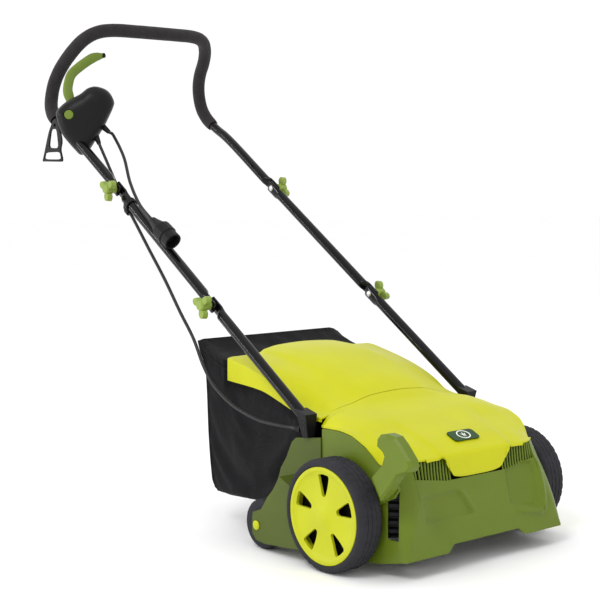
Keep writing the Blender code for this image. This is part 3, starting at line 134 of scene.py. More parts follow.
def add(name, bm, material, body=None, angle=40, flat=False):
    mesh = bpy.data.meshes.new(name)
    bmesh.ops.recalc_face_normals(bm, faces=bm.faces)
    bm.to_mesh(mesh)
    bm.free()
    obj = bpy.data.objects.new(name, mesh)
    ROOT.objects.link(obj)
    mesh.materials.append(material)
    if not flat:
        mesh.shade_smooth()
        mesh.set_sharp_from_angle(angle=math.radians(angle))
    if body:
        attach(obj, body)
    return obj


def loft_bm(rings, closed=False, caps=True, bm=None, ring_closed=True):
    bm = bm or bmesh.new()
    made = [[bm.verts.new(tuple(p)) for p in ring] for ring in rings]
    n = len(made[0])
    for k in range(len(made) if closed else len(made) - 1):
        one, two = made[k], made[(k + 1) % len(made)]
        for i in range(n if ring_closed else n - 1):
            j = (i + 1) % n
            bm.faces.new((one[i], one[j], two[j], two[i]))
    if caps and not closed:
        bm.faces.new(list(reversed(made[0])))
        bm.faces.new(made[-1])
    return bm


def tube_rings(points, radius, seg, start=Vector((1, 0, 0)), bumps=None):
    rings = []
    normal = start
    for k, p in enumerate(points):
        a, b = points[max(k - 1, 0)], points[min(k + 1, len(points) - 1)]
        t = (b - a).normalized()
        normal = (normal - t * normal.dot(t)).normalized()
        side = t.cross(normal)
        r = radius(k / (len(points) - 1)) if callable(radius) else radius
        ring = []
        for i in range(seg):
            w = 2 * math.pi * i / seg
            rr = r + (bumps(k, w) if bumps else 0.0)
            ring.append(p + normal * math.cos(w) * rr + side * math.sin(w) * rr)
        rings.append(ring)
    return rings


def lathe_x(profile, centre, seg, bm=None, wave=None):
    """A closed (x, radius) outline turned about X through centre, an (y, z) in the row frame."""
    bm = bm or bmesh.new()
    rings = []
    for k in range(seg):
        a = 2 * math.pi * k / seg
        ring = []
        for i, (x, r) in enumerate(profile):
            rr = r + (wave(k, i, r) if wave else 0.0)
            ring.append((x, centre[0] + rr * math.cos(a), centre[1] + rr * math.sin(a)))
        rings.append(ring)
    return loft_bm(rings, closed=True, bm=bm)


# ---------------------------------------------------------------- materials
def linear(r, g, b):
    return tuple(((c / 255) / 12.92 if c / 255 <= 0.04045 else ((c / 255 + 0.055) / 1.055) ** 2.4) for c in (r, g, b))


def material(name, rgb, rough=0.5, metal=0.0, vary=0.06, patch=18.0, grain=900.0, bump=0.12, depth=0.0003,
             rough_vary=0.06, coat=0.0, coat_rough=0.1, sheen=0.0, specular=0.5):
    mat = bpy.data.materials.new(name)
    mat.use_nodes = True
    tree = mat.node_tree
    n, l = tree.nodes, tree.links
    bsdf = n["Principled BSDF"]
    base = linear(*rgb)
    place = n.new("ShaderNodeTexCoord")
    big = n.new("ShaderNodeTexNoise")
    big.inputs["Scale"].default_value = patch
    big.inputs["Detail"].default_value = 5.0
    l.new(place.outputs["Object"], big.inputs["Vector"])
    ramp = n.new("ShaderNodeValToRGB")
    ramp.color_ramp.elements[0].position = 0.3
    ramp.color_ramp.elements[1].position = 0.7
    ramp.color_ramp.elements[0].color = (*[c * (1 - vary) for c in base], 1)
    ramp.color_ramp.elements[1].color = (*[min(1.0, c * (1 + vary)) for c in base], 1)
    l.new(big.outputs["Fac"], ramp.inputs["Fac"])
    l.new(ramp.outputs["Color"], bsdf.inputs["Base Color"])
    fine = n.new("ShaderNodeTexNoise")
    fine.inputs["Scale"].default_value = grain
    fine.inputs["Detail"].default_value = 3.0
    l.new(place.outputs["Object"], fine.inputs["Vector"])
    span = n.new("ShaderNodeMapRange")
    span.inputs["To Min"].default_value = rough - rough_vary
    span.inputs["To Max"].default_value = rough + rough_vary
    l.new(big.outputs["Fac"], span.inputs["Value"])
    l.new(span.outputs["Result"], bsdf.inputs["Roughness"])
    relief = n.new("ShaderNodeBump")
    relief.inputs["Strength"].default_value = bump
    relief.inputs["Distance"].default_value = depth
    l.new(fine.outputs["Fac"], relief.inputs["Height"])
    l.new(relief.outputs["Normal"], bsdf.inputs["Normal"])
    bsdf.inputs["Metallic"].default_value = metal
    bsdf.inputs["Coat Weight"].default_value = coat
    bsdf.inputs["Coat Roughness"].default_value = coat_rough
    bsdf.inputs["Sheen Weight"].default_value = sheen
    bsdf.inputs["Specular IOR Level"].default_value = specular
    mat.diffuse_color = (*base, 1)
    return mat


def add_waves(mat, scales, strength, depth, tint=None):
    """Woven or brushed relief: bands along each axis, over the fine grain."""
    n, l = mat.node_tree.nodes, mat.node_tree.links
    place = next(x for x in n if x.type == "TEX_COORD")
    relief = next(x for x in n if x.type == "BUMP")
    last = None
    for axis, scale in scales:
        wave = n.new("ShaderNodeTexWave")
        wave.wave_type = "BANDS"
        wave.bands_direction = axis
        wave.inputs["Scale"].default_value = scale
        wave.inputs["Distortion"].default_value = 0.6
        wave.inputs["Detail"].default_value = 1.0
        l.new(place.outputs["Object"], wave.inputs["Vector"])
        if last is None:
            last = wave.outputs["Fac"]
        else:
            mult = n.new("ShaderNodeMath")
            mult.operation = "MULTIPLY"
            l.new(last, mult.inputs[0])
            l.new(wave.outputs["Fac"], mult.inputs[1])
            last = mult.outputs[0]
    second = n.new("ShaderNodeBump")
    second.inputs["Strength"].default_value = strength
    second.inputs["Distance"].default_value = depth
    l.new(last, second.inputs["Height"])
    l.new(relief.outputs["Normal"], second.inputs["Normal"])
    bsdf = n["Principled BSDF"]
    l.new(second.outputs["Normal"], bsdf.inputs["Normal"])
    if tint:
        ramp = next(x for x in n if x.type == "VALTORGB")
        mix = n.new("ShaderNodeMix")
        mix.data_type = "RGBA"
        mix.blend_type = "MULTIPLY"
        mix.inputs["Factor"].default_value = 1.0
        shade = n.new("ShaderNodeMapRange")
        shade.inputs["To Min"].default_value = 1 - tint
        shade.inputs["To Max"].default_value = 1.0
        l.new(last, shade.inputs["Value"])
        l.new(ramp.outputs["Color"], mix.inputs["A"])
        l.new(shade.outputs["Result"], mix.inputs["B"])
        l.new(mix.outputs["Result"], bsdf.inputs["Base Color"])
    return mat


LIME = material("lime_plastic", (189, 190, 2), rough=0.42, vary=0.03, bump=0.06, specular=0.22)
LIME_WHEEL = material("lime_wheel", (182, 186, 20), rough=0.45, vary=0.05, bump=0.08, specular=0.25)
OLIVE = material("olive_plastic", (95, 113, 27), rough=0.36, vary=0.05, bump=0.16, grain=1400, specular=0.22)
OLIVE_REAR = material("olive_rear", (76, 89, 30), rough=0.50, vary=0.07, bump=0.16, grain=1400, specular=0.20)
GREEN = material("green_plastic", (102, 122, 42), rough=0.42, vary=0.07, bump=0.10, specular=0.25)
KNOB = material("knob_plastic", (130, 150, 62), rough=0.40, vary=0.07, bump=0.10, specular=0.30)
BLACK = material("black_plastic_look", (22, 22, 24), rough=0.45, vary=0.12, bump=0.18, grain=1200, specular=0.15)
BOX_BLACK = material("switch_plastic", (15, 15, 17), rough=0.40, vary=0.12, bump=0.2, grain=1500, specular=0.18)
TYRE = material("tyre_look", (45, 45, 49), rough=0.75, vary=0.16, patch=30, bump=0.35, grain=700, depth=0.0005, specular=0.15)
FOAM = material("foam_look", (44, 41, 42), rough=0.92, vary=0.15, patch=60, bump=0.7, grain=1100, depth=0.0008, sheen=0.10,
                specular=0.10)
TUBE = material("tube_paint", (9, 9, 10), rough=0.11, vary=0.10, bump=0.03, grain=500, specular=0.20)
STEEL = material("zinc_steel", (190, 190, 192), rough=0.34, metal=1.0, vary=0.08, bump=0.10, grain=600)
ALU = material("cast_aluminium", (200, 200, 200), rough=0.45, metal=1.0, vary=0.06, bump=0.35, grain=400)
CABLE = material("cable_sheath", (26, 26, 28), rough=0.38, vary=0.10, bump=0.15, grain=900, specular=0.30)
RUBBER = material("rubber_look", (22, 22, 23), rough=0.62, vary=0.10, bump=0.2, grain=900, specular=0.2)
BADGE = material("badge_green", (32, 66, 24), rough=0.40, vary=0.05, bump=0.03, specular=0.2)
WHITE = material("print_white", (235, 238, 230), rough=0.45, vary=0.02, bump=0.04)
FABRIC = add_waves(material("bag_fabric_look", (26, 26, 28), rough=0.88, vary=0.22, patch=14, bump=0.25, grain=1500,
                            sheen=0.05, specular=0.10), (("Y", 260), ("X", 260), ("Z", 230)), 0.5, 0.0006, tint=0.25)
PIPING = material("bag_piping", (20, 20, 21), rough=0.7, vary=0.1, bump=0.4, grain=1600, specular=0.2)
# painted shade: near-black stands in for the shade inside the grille slots and behind the wheel windows
SLOT_SHADE_PAINT = material("slot_shadow", (12, 13, 11), rough=0.8, vary=0.1, bump=0.1, specular=0.1)

LOOKS = {
    "hood_cover": LIME, "discharge_flap": LIME, "front_rim_left": LIME_WHEEL, "front_rim_right": LIME_WHEEL,
    "rear_axle_cap_left": LIME_WHEEL, "rear_axle_cap_right": LIME_WHEEL,
    "deck_shell": OLIVE, "rear_housing": OLIVE_REAR, "depth_lever": OLIVE, "switch_lever": GREEN,
    "safety_button": GREEN, "lower_knob_left": KNOB, "lower_knob_right": KNOB, "upper_knob_left": KNOB,
    "upper_knob_right": KNOB, "badge": BADGE, "motor_housing": ALU, "foam_grip": FOAM, "switch_box": BOX_BLACK,
    "bag_fabric": FABRIC,
}
for group, look in ((("front_tyre_left", "front_tyre_right", "rear_wheel_left", "rear_wheel_right"), TYRE),
                    (("upper_bar", "lower_tube_left", "lower_tube_right", "middle_tube_left", "middle_tube_right"), TUBE),
                    (("crank_axle", "rear_axle", "rotor_shaft", "drive_pulley", "tine_drum", "bag_frame", "lower_bolt_left",
                      "lower_bolt_right", "upper_bolt_left", "upper_bolt_right"), STEEL),
                    (("motor_cable_lower", "motor_cable_upper", "supply_lead"), CABLE),
                    (("drive_belt", "deck_gland", "motor_gland", "supply_gland"), RUBBER),
                    # the grilles are painted near-black as the shade in the slots between the slats
                    (("front_grille_left", "front_grille_right"), SLOT_SHADE_PAINT)):
    for name in group:
        LOOKS[name] = look
for name, node in NODES.items():
    node.data.materials.clear()
    node.data.materials.append(LOOKS.get(name, BLACK))


# ---------------------------------------------------------------- cords
CORD_D = 0.0068
LEG = math.radians(34.7)


def on_leg(s, off=0.0, x=0.0):
    """A point s along the straight handle leg and off above it, laid out from the axle."""
    return Vector((x, 0.105 + s * math.cos(LEG) - off * math.sin(LEG), 0.252 + s * math.sin(LEG) + off * math.cos(LEG)))


def unit(*v):
    return Vector(v).normalized()


EYE = on_leg(0.678, -0.0187, -0.2135)
ALONG = Vector((0, math.cos(LEG), math.sin(LEG)))
GLAND_M, OUT_M = Vector((-0.1818, 0.8420, 0.7867)), unit(0.055, -0.520, -0.855)
GLAND_S, OUT_S = Vector((-0.1659, 0.8366, 0.8065)), unit(0.180, -0.800, -0.560)
DECK_IN = Vector((-0.2090, 0.1275, 0.2300))
PLUG_A, PLUG_B = Vector((-0.2268, 0.5642, 0.6064)), Vector((-0.2212, 0.4841, 0.5534))
PLUG_DIR = (PLUG_B - PLUG_A).normalized()
ROUTES = {
    "motor_cable_upper": [GLAND_M + OUT_M * 0.001, GLAND_M + OUT_M * 0.022, (-0.1784, 0.8164, 0.7446), (-0.1850, 0.7737, 0.7004),
                          (-0.1890, 0.7484, 0.6744), (-0.1985, 0.7080, 0.6440), EYE + ALONG * 0.014, EYE + ALONG * 0.0072],
    "motor_cable_lower": [EYE - ALONG * 0.0072, EYE - ALONG * 0.020, (-0.2160, 0.5910, 0.5430), (-0.2180, 0.5350, 0.4850),
                          (-0.2200, 0.4810, 0.4230), (-0.2220, 0.4350, 0.3740), (-0.2240, 0.4000, 0.3230),
                          (-0.2240, 0.3650, 0.2870), (-0.2230, 0.3100, 0.2560), (-0.2200, 0.2400, 0.2360),
                          (-0.2140, 0.1850, 0.2310), (-0.2095, 0.1550, 0.2302), DECK_IN + Vector((0, 0.014, 0)), DECK_IN],
    "supply_lead": [GLAND_S + OUT_S * 0.001, GLAND_S + OUT_S * 0.022, (-0.1590, 0.8073, 0.7870), (-0.1769, 0.7409, 0.7385),
                    (-0.1987, 0.6858, 0.6845), (-0.2145, 0.6300, 0.6400), PLUG_A - PLUG_DIR * 0.016, PLUG_A - PLUG_DIR * 0.0004],
}
for name, count in (("motor_cable_upper", 60), ("motor_cable_lower", 150), ("supply_lead", 80)):
    path = [F(*p) for p in smooth_path(ROUTES[name], count)]
    bm = loft_bm(tube_rings(path, CORD_D / 2, 14))
    obj = add(name.replace("_", "-") + "-look", bm, CABLE, angle=60)
    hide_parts(name)
    if name == "supply_lead":
        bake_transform(obj)
    elif name == "motor_cable_upper":
        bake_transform(obj)
    else:
        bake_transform(obj)


# ---------------------------------------------------------------- hood and flap surface
LIP, FLAP_Y, SEAM_Y, DECK_X = 0.0035, 0.0865, 0.069, 0.207
Q = [0.0, 0.337, 0.627, 0.795, 0.916, 1.0]
C_Y = [-0.112, -0.080, -0.025, 0.011, 0.045, 0.062, 0.0865, 0.1225, 0.160, 0.200, 0.250, 0.300, 0.362]
C_Z = [0.2030, 0.2210, 0.2420, 0.2550, 0.2650, 0.2715, 0.2875, 0.3095, 0.3240, 0.3370, 0.3485, 0.3550, 0.3575]
S_Y = [-0.112, -0.100, -0.080, -0.025, 0.011, 0.045, 0.070, 0.098, 0.1225, 0.161, 0.193, 0.224, 0.300, 0.362]
S_Z = [0.2025, 0.2090, 0.2190, 0.2400, 0.2550, 0.2630, 0.2680, 0.2760, 0.2870, 0.3040, 0.3170, 0.3260, 0.3400, 0.3460]
K_Y = [-0.112, -0.080, -0.069, -0.054, -0.031, 0.003, 0.049, 0.095, 0.1225, 0.145, 0.170, 0.203, 0.253, 0.304, 0.362]
K_Z = [0.2022, 0.2030, 0.2070, 0.2170, 0.2300, 0.2440, 0.2540, 0.2570, 0.2600, 0.2680, 0.2840, 0.3000, 0.3170, 0.3300, 0.3430]
EDGE_Y = [-0.112, -0.100, -0.085, -0.072, -0.056, -0.040, -0.025, -0.004, 0.030, 0.066, 0.074, 0.13]
EDGE_Z = [0.200, 0.198, 0.190, 0.189, 0.206, 0.221, 0.229, 0.236, 0.240, 0.240, 0.2365, 0.2365]


def step(t):
    t = min(max(t, 0.0), 1.0)
    return t * t * (3 - 2 * t)


def front_y(z):
    return float(np.interp(z, [0.0, 0.036, 0.165, 0.25], [-0.146, -0.144, -0.115, -0.105]))


def corner_r(z):
    return float(np.clip(0.004 + 0.52 * (z - 0.035), 0.006, 0.0865))


def skirt_y(x, z):
    r, f = corner_r(z), front_y(z)
    d = abs(x) - (DECK_X - r)
    return f if d <= 0 else f + r - math.sqrt(max(r * r - d * d, 0.0))


def edge_z(y):
    return min(smooth_table(y, EDGE_Y, EDGE_Z), smooth_table(y, K_Y, K_Z) - 0.001 - LIP)


def skirt_top(x):
    ax = abs(x)
    if ax <= 0.1555:
        return float(np.interp(ax, [0.0, 0.079, 0.155], [0.1545, 0.1545, 0.166]))
    z = 0.2
    for _ in range(8):
        z = edge_z(skirt_y(ax, z)) - 0.0018
    return z


def skirt_bottom(x):
    return float(np.interp(abs(x), [0.0, 0.086, 0.102, 0.2, 0.207], [0.047, 0.047, 0.034, 0.034, 0.034]))


def half_width(y):
    if y < -0.026:
        return 0.121 + math.sqrt(max(0.086 ** 2 - (y + 0.026) ** 2, 0.0))
    return float(np.interp(y, [-0.026, 0.0655, 0.0745, 0.0865, 0.362], [0.207, 0.207, 0.1965, 0.1930, 0.1930]))


Q2 = [-q for q in reversed(Q[1:])] + Q
row_cache = {}


def cover_z(q, y):
    """Height of the hood or flap at q, a share of its half width, without facets."""
    if y not in row_cache:
        c, s, k = (smooth_table(y, *t) for t in ((C_Y, C_Z), (S_Y, S_Z), (K_Y, K_Z)))
        e = edge_z(y) + LIP if y < FLAP_Y + 0.0002 else k - 0.0035
        near_top = c - (c - s) * (0.337 / 0.627) ** 2.4
        half = [c, near_top, s, s - (s - k) * 0.36, k, e]
        row_cache[y] = list(reversed(half[1:])) + half
    return smooth_table(q, Q2, row_cache[y])


def hood_relief(x, y):
    """The middle of the hood stands a little proud, and the flap has a raised back."""
    ax = abs(x)
    if y < FLAP_Y:
        edge = 0.092 + 0.10 * (y + 0.09)
        return 0.0032 * (step((edge + 0.004 - ax) / 0.008) - 1.0) * step((0.015 - y) / 0.05) * step((0.185 - ax) / 0.04)
    return 0.0042 * (step((0.1075 + 0.006 - ax) / 0.012) - 0.6) * step((y - 0.12) / 0.16) * step((0.19 - ax) / 0.03)


def shell(name, bm, thickness, material_, body, inward=True, angle=38):
    obj = add(name, bm, material_, angle=angle)
    mod = obj.modifiers.new("wall", "SOLIDIFY")
    mod.thickness = thickness
    mod.offset = -1.0 if inward else 1.0
    apply(obj)
    obj.data.shade_smooth()
    obj.data.set_sharp_from_angle(angle=math.radians(angle))
    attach(obj, body)
    return obj


def apply(obj):
    graph = bpy.context.evaluated_depsgraph_get()
    bpy.context.view_layer.update()
    new = bpy.data.meshes.new_from_object(obj.evaluated_get(graph), depsgraph=graph)
    obj.modifiers.clear()
    old_mesh = obj.data
    obj.data = new
    bpy.data.meshes.remove(old_mesh)
    return obj


def cut(obj, cutters, operation="DIFFERENCE"):
    for c in cutters:
        mod = obj.modifiers.new("cut", "BOOLEAN")
        mod.operation = operation
        mod.solver = "EXACT"
        mod.object = c
    apply(obj)
    for c in cutters:
        bpy.data.objects.remove(c, do_unlink=True)
    return obj


def grid_faces(bm, grid):
    for i in range(len(grid) - 1):
        for j in range(len(grid[0]) - 1):
            bm.faces.new((grid[i][j], grid[i][j + 1], grid[i + 1][j + 1], grid[i + 1][j]))


# hood
bm = bmesh.new()
N_Q = 72
ys = list(np.linspace(-0.1118, -0.030, 26)) + list(np.linspace(-0.026, 0.0640, 22)) + [0.0655, 0.0700, 0.0745, 0.0800, 0.0857]
front_edge = 0.079 / half_width(-0.1118)
grid = []
for y in ys:
    row = []
    for n in range(-N_Q // 2, N_Q // 2 + 1):
        q = n / (N_Q / 2)
        x = q * half_width(y)
        row.append(bm.verts.new(F(x, y, cover_z(q, y) + hood_relief(x, y))))
    grid.append(row)
grid_faces(bm, grid)
for n in (0, -1):
    lip = [bm.verts.new(row[n].co - Vector((0, 0, LIP))) for row in grid]
    for i in range(len(grid) - 1):
        quad = (lip[i], grid[i][n], grid[i + 1][n], lip[i + 1])
        bm.faces.new(quad if n == 0 else quad[::-1])
# the front edge turns down, and in the middle it runs down as a tongue between the grilles
cols = list(range(len(grid[0])))
last = [grid[0][j] for j in cols]
PHI0, PHI1, BEND = math.radians(31), math.radians(84), 0.0120
turns = [PHI0 + (PHI1 - PHI0) * t for t in (0.15, 0.3, 0.45, 0.6, 0.75, 0.9, 1.0)]
for phi, below in [(t, 0.0) for t in turns] + [(PHI1, t) for t in (0.25, 0.5, 0.7, 0.85, 0.95, 1.0)]:
    new = []
    for j in cols:
        top = grid[0][j].co
        flare = step((0.0915 - abs(top.x)) / 0.023)
        narrow = 1.0 - 0.10 * flare * max(0.0, (below - 0.25) / 0.75) ** 2
        brow = top.z - 0.0042
        low_z = brow + (0.1562 + 0.008 * (min(abs(top.x), 0.079) / 0.079) ** 4 - brow) * flare
        total = top.z - low_z
        bend = BEND * min(1.0, total / (BEND * (math.cos(PHI0) - math.cos(PHI1))))
        drop = bend * (math.cos(PHI0) - math.cos(phi))
        drop += (total - drop) * below
        ahead = bend * (math.sin(phi) - math.sin(PHI0)) + 0.0012 * below * flare - (0.0012 if below == 1.0 else 0)
        new.append(bm.verts.new((top.x * narrow, top.y - ahead, top.z - drop)))
    for a in range(len(new) - 1):
        bm.faces.new((new[a], new[a + 1], last[a + 1], last[a]))
    last = new
hood = shell("hood-moulding", bm, 0.0025, LIME, "chassis", angle=50)
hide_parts("hood_cover")

# flap
bm = bmesh.new()
grid = []
for y in list(np.linspace(0.0869, 0.345, 46)) + [0.351, 0.356, 0.360, 0.362]:
    low = smooth_table(y, [0.0865, 0.1225, 0.160, 0.206, 0.260, 0.362], [0.2460, 0.2480, 0.2560, 0.2710, 0.2860, 0.2950])
    end = 0.0012 * step((y - 0.350) / 0.012)
    row = []
    for n in range(-30, 31):
        q = n / 30
        row.append((q * 0.193, y, cover_z(q, y) + hood_relief(q * 0.193, y) - end))
    k = row[0][2]
    ts = (0.0, 0.2, 0.4, 0.6, 0.8, 0.93)
    wall_r = [(-0.1938 + 0.0004 * t, y, low + (k - low) * t) for t in ts]
    wall_l = [(-x, yy, z) for x, yy, z in reversed(wall_r)]
    grid.append([bm.verts.new(F(*p)) for p in wall_r + row + wall_l])
grid_faces(bm, grid)
flap = shell("flap-moulding", bm, 0.0025, LIME, "flap", angle=50)
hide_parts("discharge_flap")


# ---------------------------------------------------------------- deck
def deck_relief(x, z):
    """Depth of the recessed panels, and the ridge beside the far one."""
    out = 0.0
    # far panel, with a bright ridge at its outer side and foot
    inner = 0.074
    outer = 0.150 - 0.10 * max(0.0, 0.10 - z)
    foot = 0.088 - 0.12 * (x - inner)
    inside = step((x - inner) / 0.004) * step((outer - x) / 0.006) * step((z - foot) / 0.007) * step((0.1620 - z) / 0.006)
    out -= 0.0046 * inside
    ridge_x = math.exp(-((x - outer - 0.010) / 0.0068) ** 2) * step((z - foot + 0.012) / 0.01) * step((0.175 - z) / 0.02)
    ridge_z = math.exp(-((z - foot + 0.008) / 0.0062) ** 2) * step((x - inner - 0.006) / 0.04) * step((outer + 0.014 - x) / 0.01)
    out += 0.0072 * max(ridge_x, ridge_z)
    # near panel, which narrows towards the middle
    right = -0.015 - (z - 0.078) * 0.68
    foot = 0.088 + 0.06 * max(0.0, -x - 0.12)
    inside = step((x + 0.150) / 0.006) * step((right - x) / 0.005) * step((z - foot) / 0.006) * step((0.1400 - z) / 0.012)
    out -= 0.0044 * inside
    out += 0.0028 * math.exp(-((x - right - 0.005) / 0.004) ** 2) * step((z - foot) / 0.01) * step((0.140 - z) / 0.01)
    return out


def corner_push(x, z):
    """The front corners stand a little forward at half height."""
    return 0.0085 * step((abs(x) - 0.115) / 0.085) * max(0.0, math.sin(math.pi * min(max((z - 0.045) / 0.150, 0.0), 1.0)))


def deck_point(kind, side, value, v):
    if kind == "front":
        low, high = skirt_bottom(value), skirt_top(value)
        z = low + (high - low) * v
        return Vector((side * value, skirt_y(value, z) - deck_relief(side * value, z) - corner_push(value, z), z))

    def y_at(z):
        start = front_y(z) + corner_r(z) - corner_push(DECK_X, z)
        return start + (SEAM_Y - start) * value
    low, high = 0.03, 0.22
    for _ in range(8):
        low = smooth_table(y_at(low), [-0.14, -0.05, 0.07], [0.034, 0.018, 0.016])
        high = edge_z(y_at(high)) - 0.0012
    z = low + (high - low) * v
    return Vector((side * DECK_X, y_at(z), z))


half = [0.0, 0.079, 0.0865, 0.102] + [0.1520, 0.1540, 0.1555, 0.1565, 0.1578]
fine = sorted(set([round(v, 5) for v in list(np.arange(0.0, 0.1501, 0.003)) + half + list(np.linspace(0.159, 0.2065, 22)) + [0.207]]))
columns = [("side", -1, g) for g in (1.0, 0.85, 0.7, 0.55, 0.4, 0.28, 0.16, 0.07)]
columns += [("front", -1, x) for x in reversed(fine[1:])] + [("front", 1, x) for x in fine]
columns += [("side", 1, g) for g in (0.07, 0.16, 0.28, 0.4, 0.55, 0.7, 0.85, 1.0)]
bm = bmesh.new()
grid = [[bm.verts.new(F(*deck_point(*c, v))) for v in np.linspace(0, 1, 60)] for c in columns]
grid_faces(bm, grid)
deck = shell("deck-moulding", bm, 0.003, OLIVE, "chassis", angle=50)
bm = bmesh.new()
bmesh.ops.create_cube(bm, size=1.0)
bmesh.ops.transform(bm, matrix=Matrix.Translation(F(-0.1975, -0.1045, 0.068)) @ Matrix.Rotation(math.radians(-48), 4, "Z")
                    @ Matrix.Translation((0, 0, 0.0485)) @ Matrix.Diagonal((0.0196, 0.040, 0.097, 1)), verts=bm.verts)
slot_cutter = add("slot-cutter", bm, OLIVE, flat=True)
cut(deck, [slot_cutter])
deck.data.shade_smooth()
deck.data.set_sharp_from_angle(angle=math.radians(42))
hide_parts("deck_shell")

# slats over the two grilles, which are painted near-black as the shade between the slats
for side in (-1, 1):
    bm = bmesh.new()
    for k in range(-2, 10):
        x = 0.0845 + 0.0074 * k
        low, high = skirt_top(x) - 0.0012, cover_z(x / half_width(-0.1118), -0.1118) - 0.0030
        rings = []
        for t in np.linspace(0, 1, 7):
            z = low + (high - low) * t
            y = skirt_y(x, z)
            rings.append([F(side * (x - 0.0016), y + 0.0004, z), F(side * (x + 0.0016), y + 0.0004, z),
                          F(side * (x + 0.0014), y + 0.0030, z), F(side * (x - 0.0014), y + 0.0030, z)])
        loft_bm(rings, bm=bm)
    slats = add("grille-slats-" + ("right" if side < 0 else "left"), bm, OLIVE, body="chassis", flat=True)


# ---------------------------------------------------------------- badge print
by = -0.0815
slope = math.atan2(float(np.interp(-0.060, C_Y, C_Z) - np.interp(-0.100, C_Y, C_Z)), 0.040)
badge_at = Matrix.Translation(F(0, by, float(np.interp(by, C_Y, C_Z))) + Vector((0, -math.sin(slope), math.cos(slope))) * 0.0030) @ Matrix.Rotation(slope, 4, "X")
bm = bmesh.new()
ring = []
for k in range(40):
    a = 2 * math.pi * k / 40
    ring.append([Vector((math.cos(a) * r * 1.30, math.sin(a) * r, z)) for r, z in ((0.0121, 0.0), (0.0102, 0.0), (0.0102, 0.0005), (0.0121, 0.0005))])
loft_bm(ring, closed=True, bm=bm)
for lean, reach in ((-0.42, 0.0072), (0.0, 0.0090), (0.42, 0.0072)):
    blade = []
    for t in np.linspace(0, 1, 6):
        w = 0.0024 * (1 - t) + 0.0003
        c = Vector((math.sin(lean) * reach * 1.5 * t * t * 1.1 + lean * 0.004 * t, -0.0060 + reach * 1.35 * t, 0.0))
        blade.append([c + Vector((-w, 0, 0)), c + Vector((w, 0, 0)), c + Vector((w, 0, 0.0005)), c + Vector((-w, 0, 0.0005))])
    loft_bm(blade, bm=bm)
bmesh.ops.transform(bm, matrix=badge_at, verts=bm.verts)
add("badge-print", bm, WHITE, body="chassis", flat=True)


# ---------------------------------------------------------------- wheels
def at(side, depth):
    return side * (0.270 - depth)


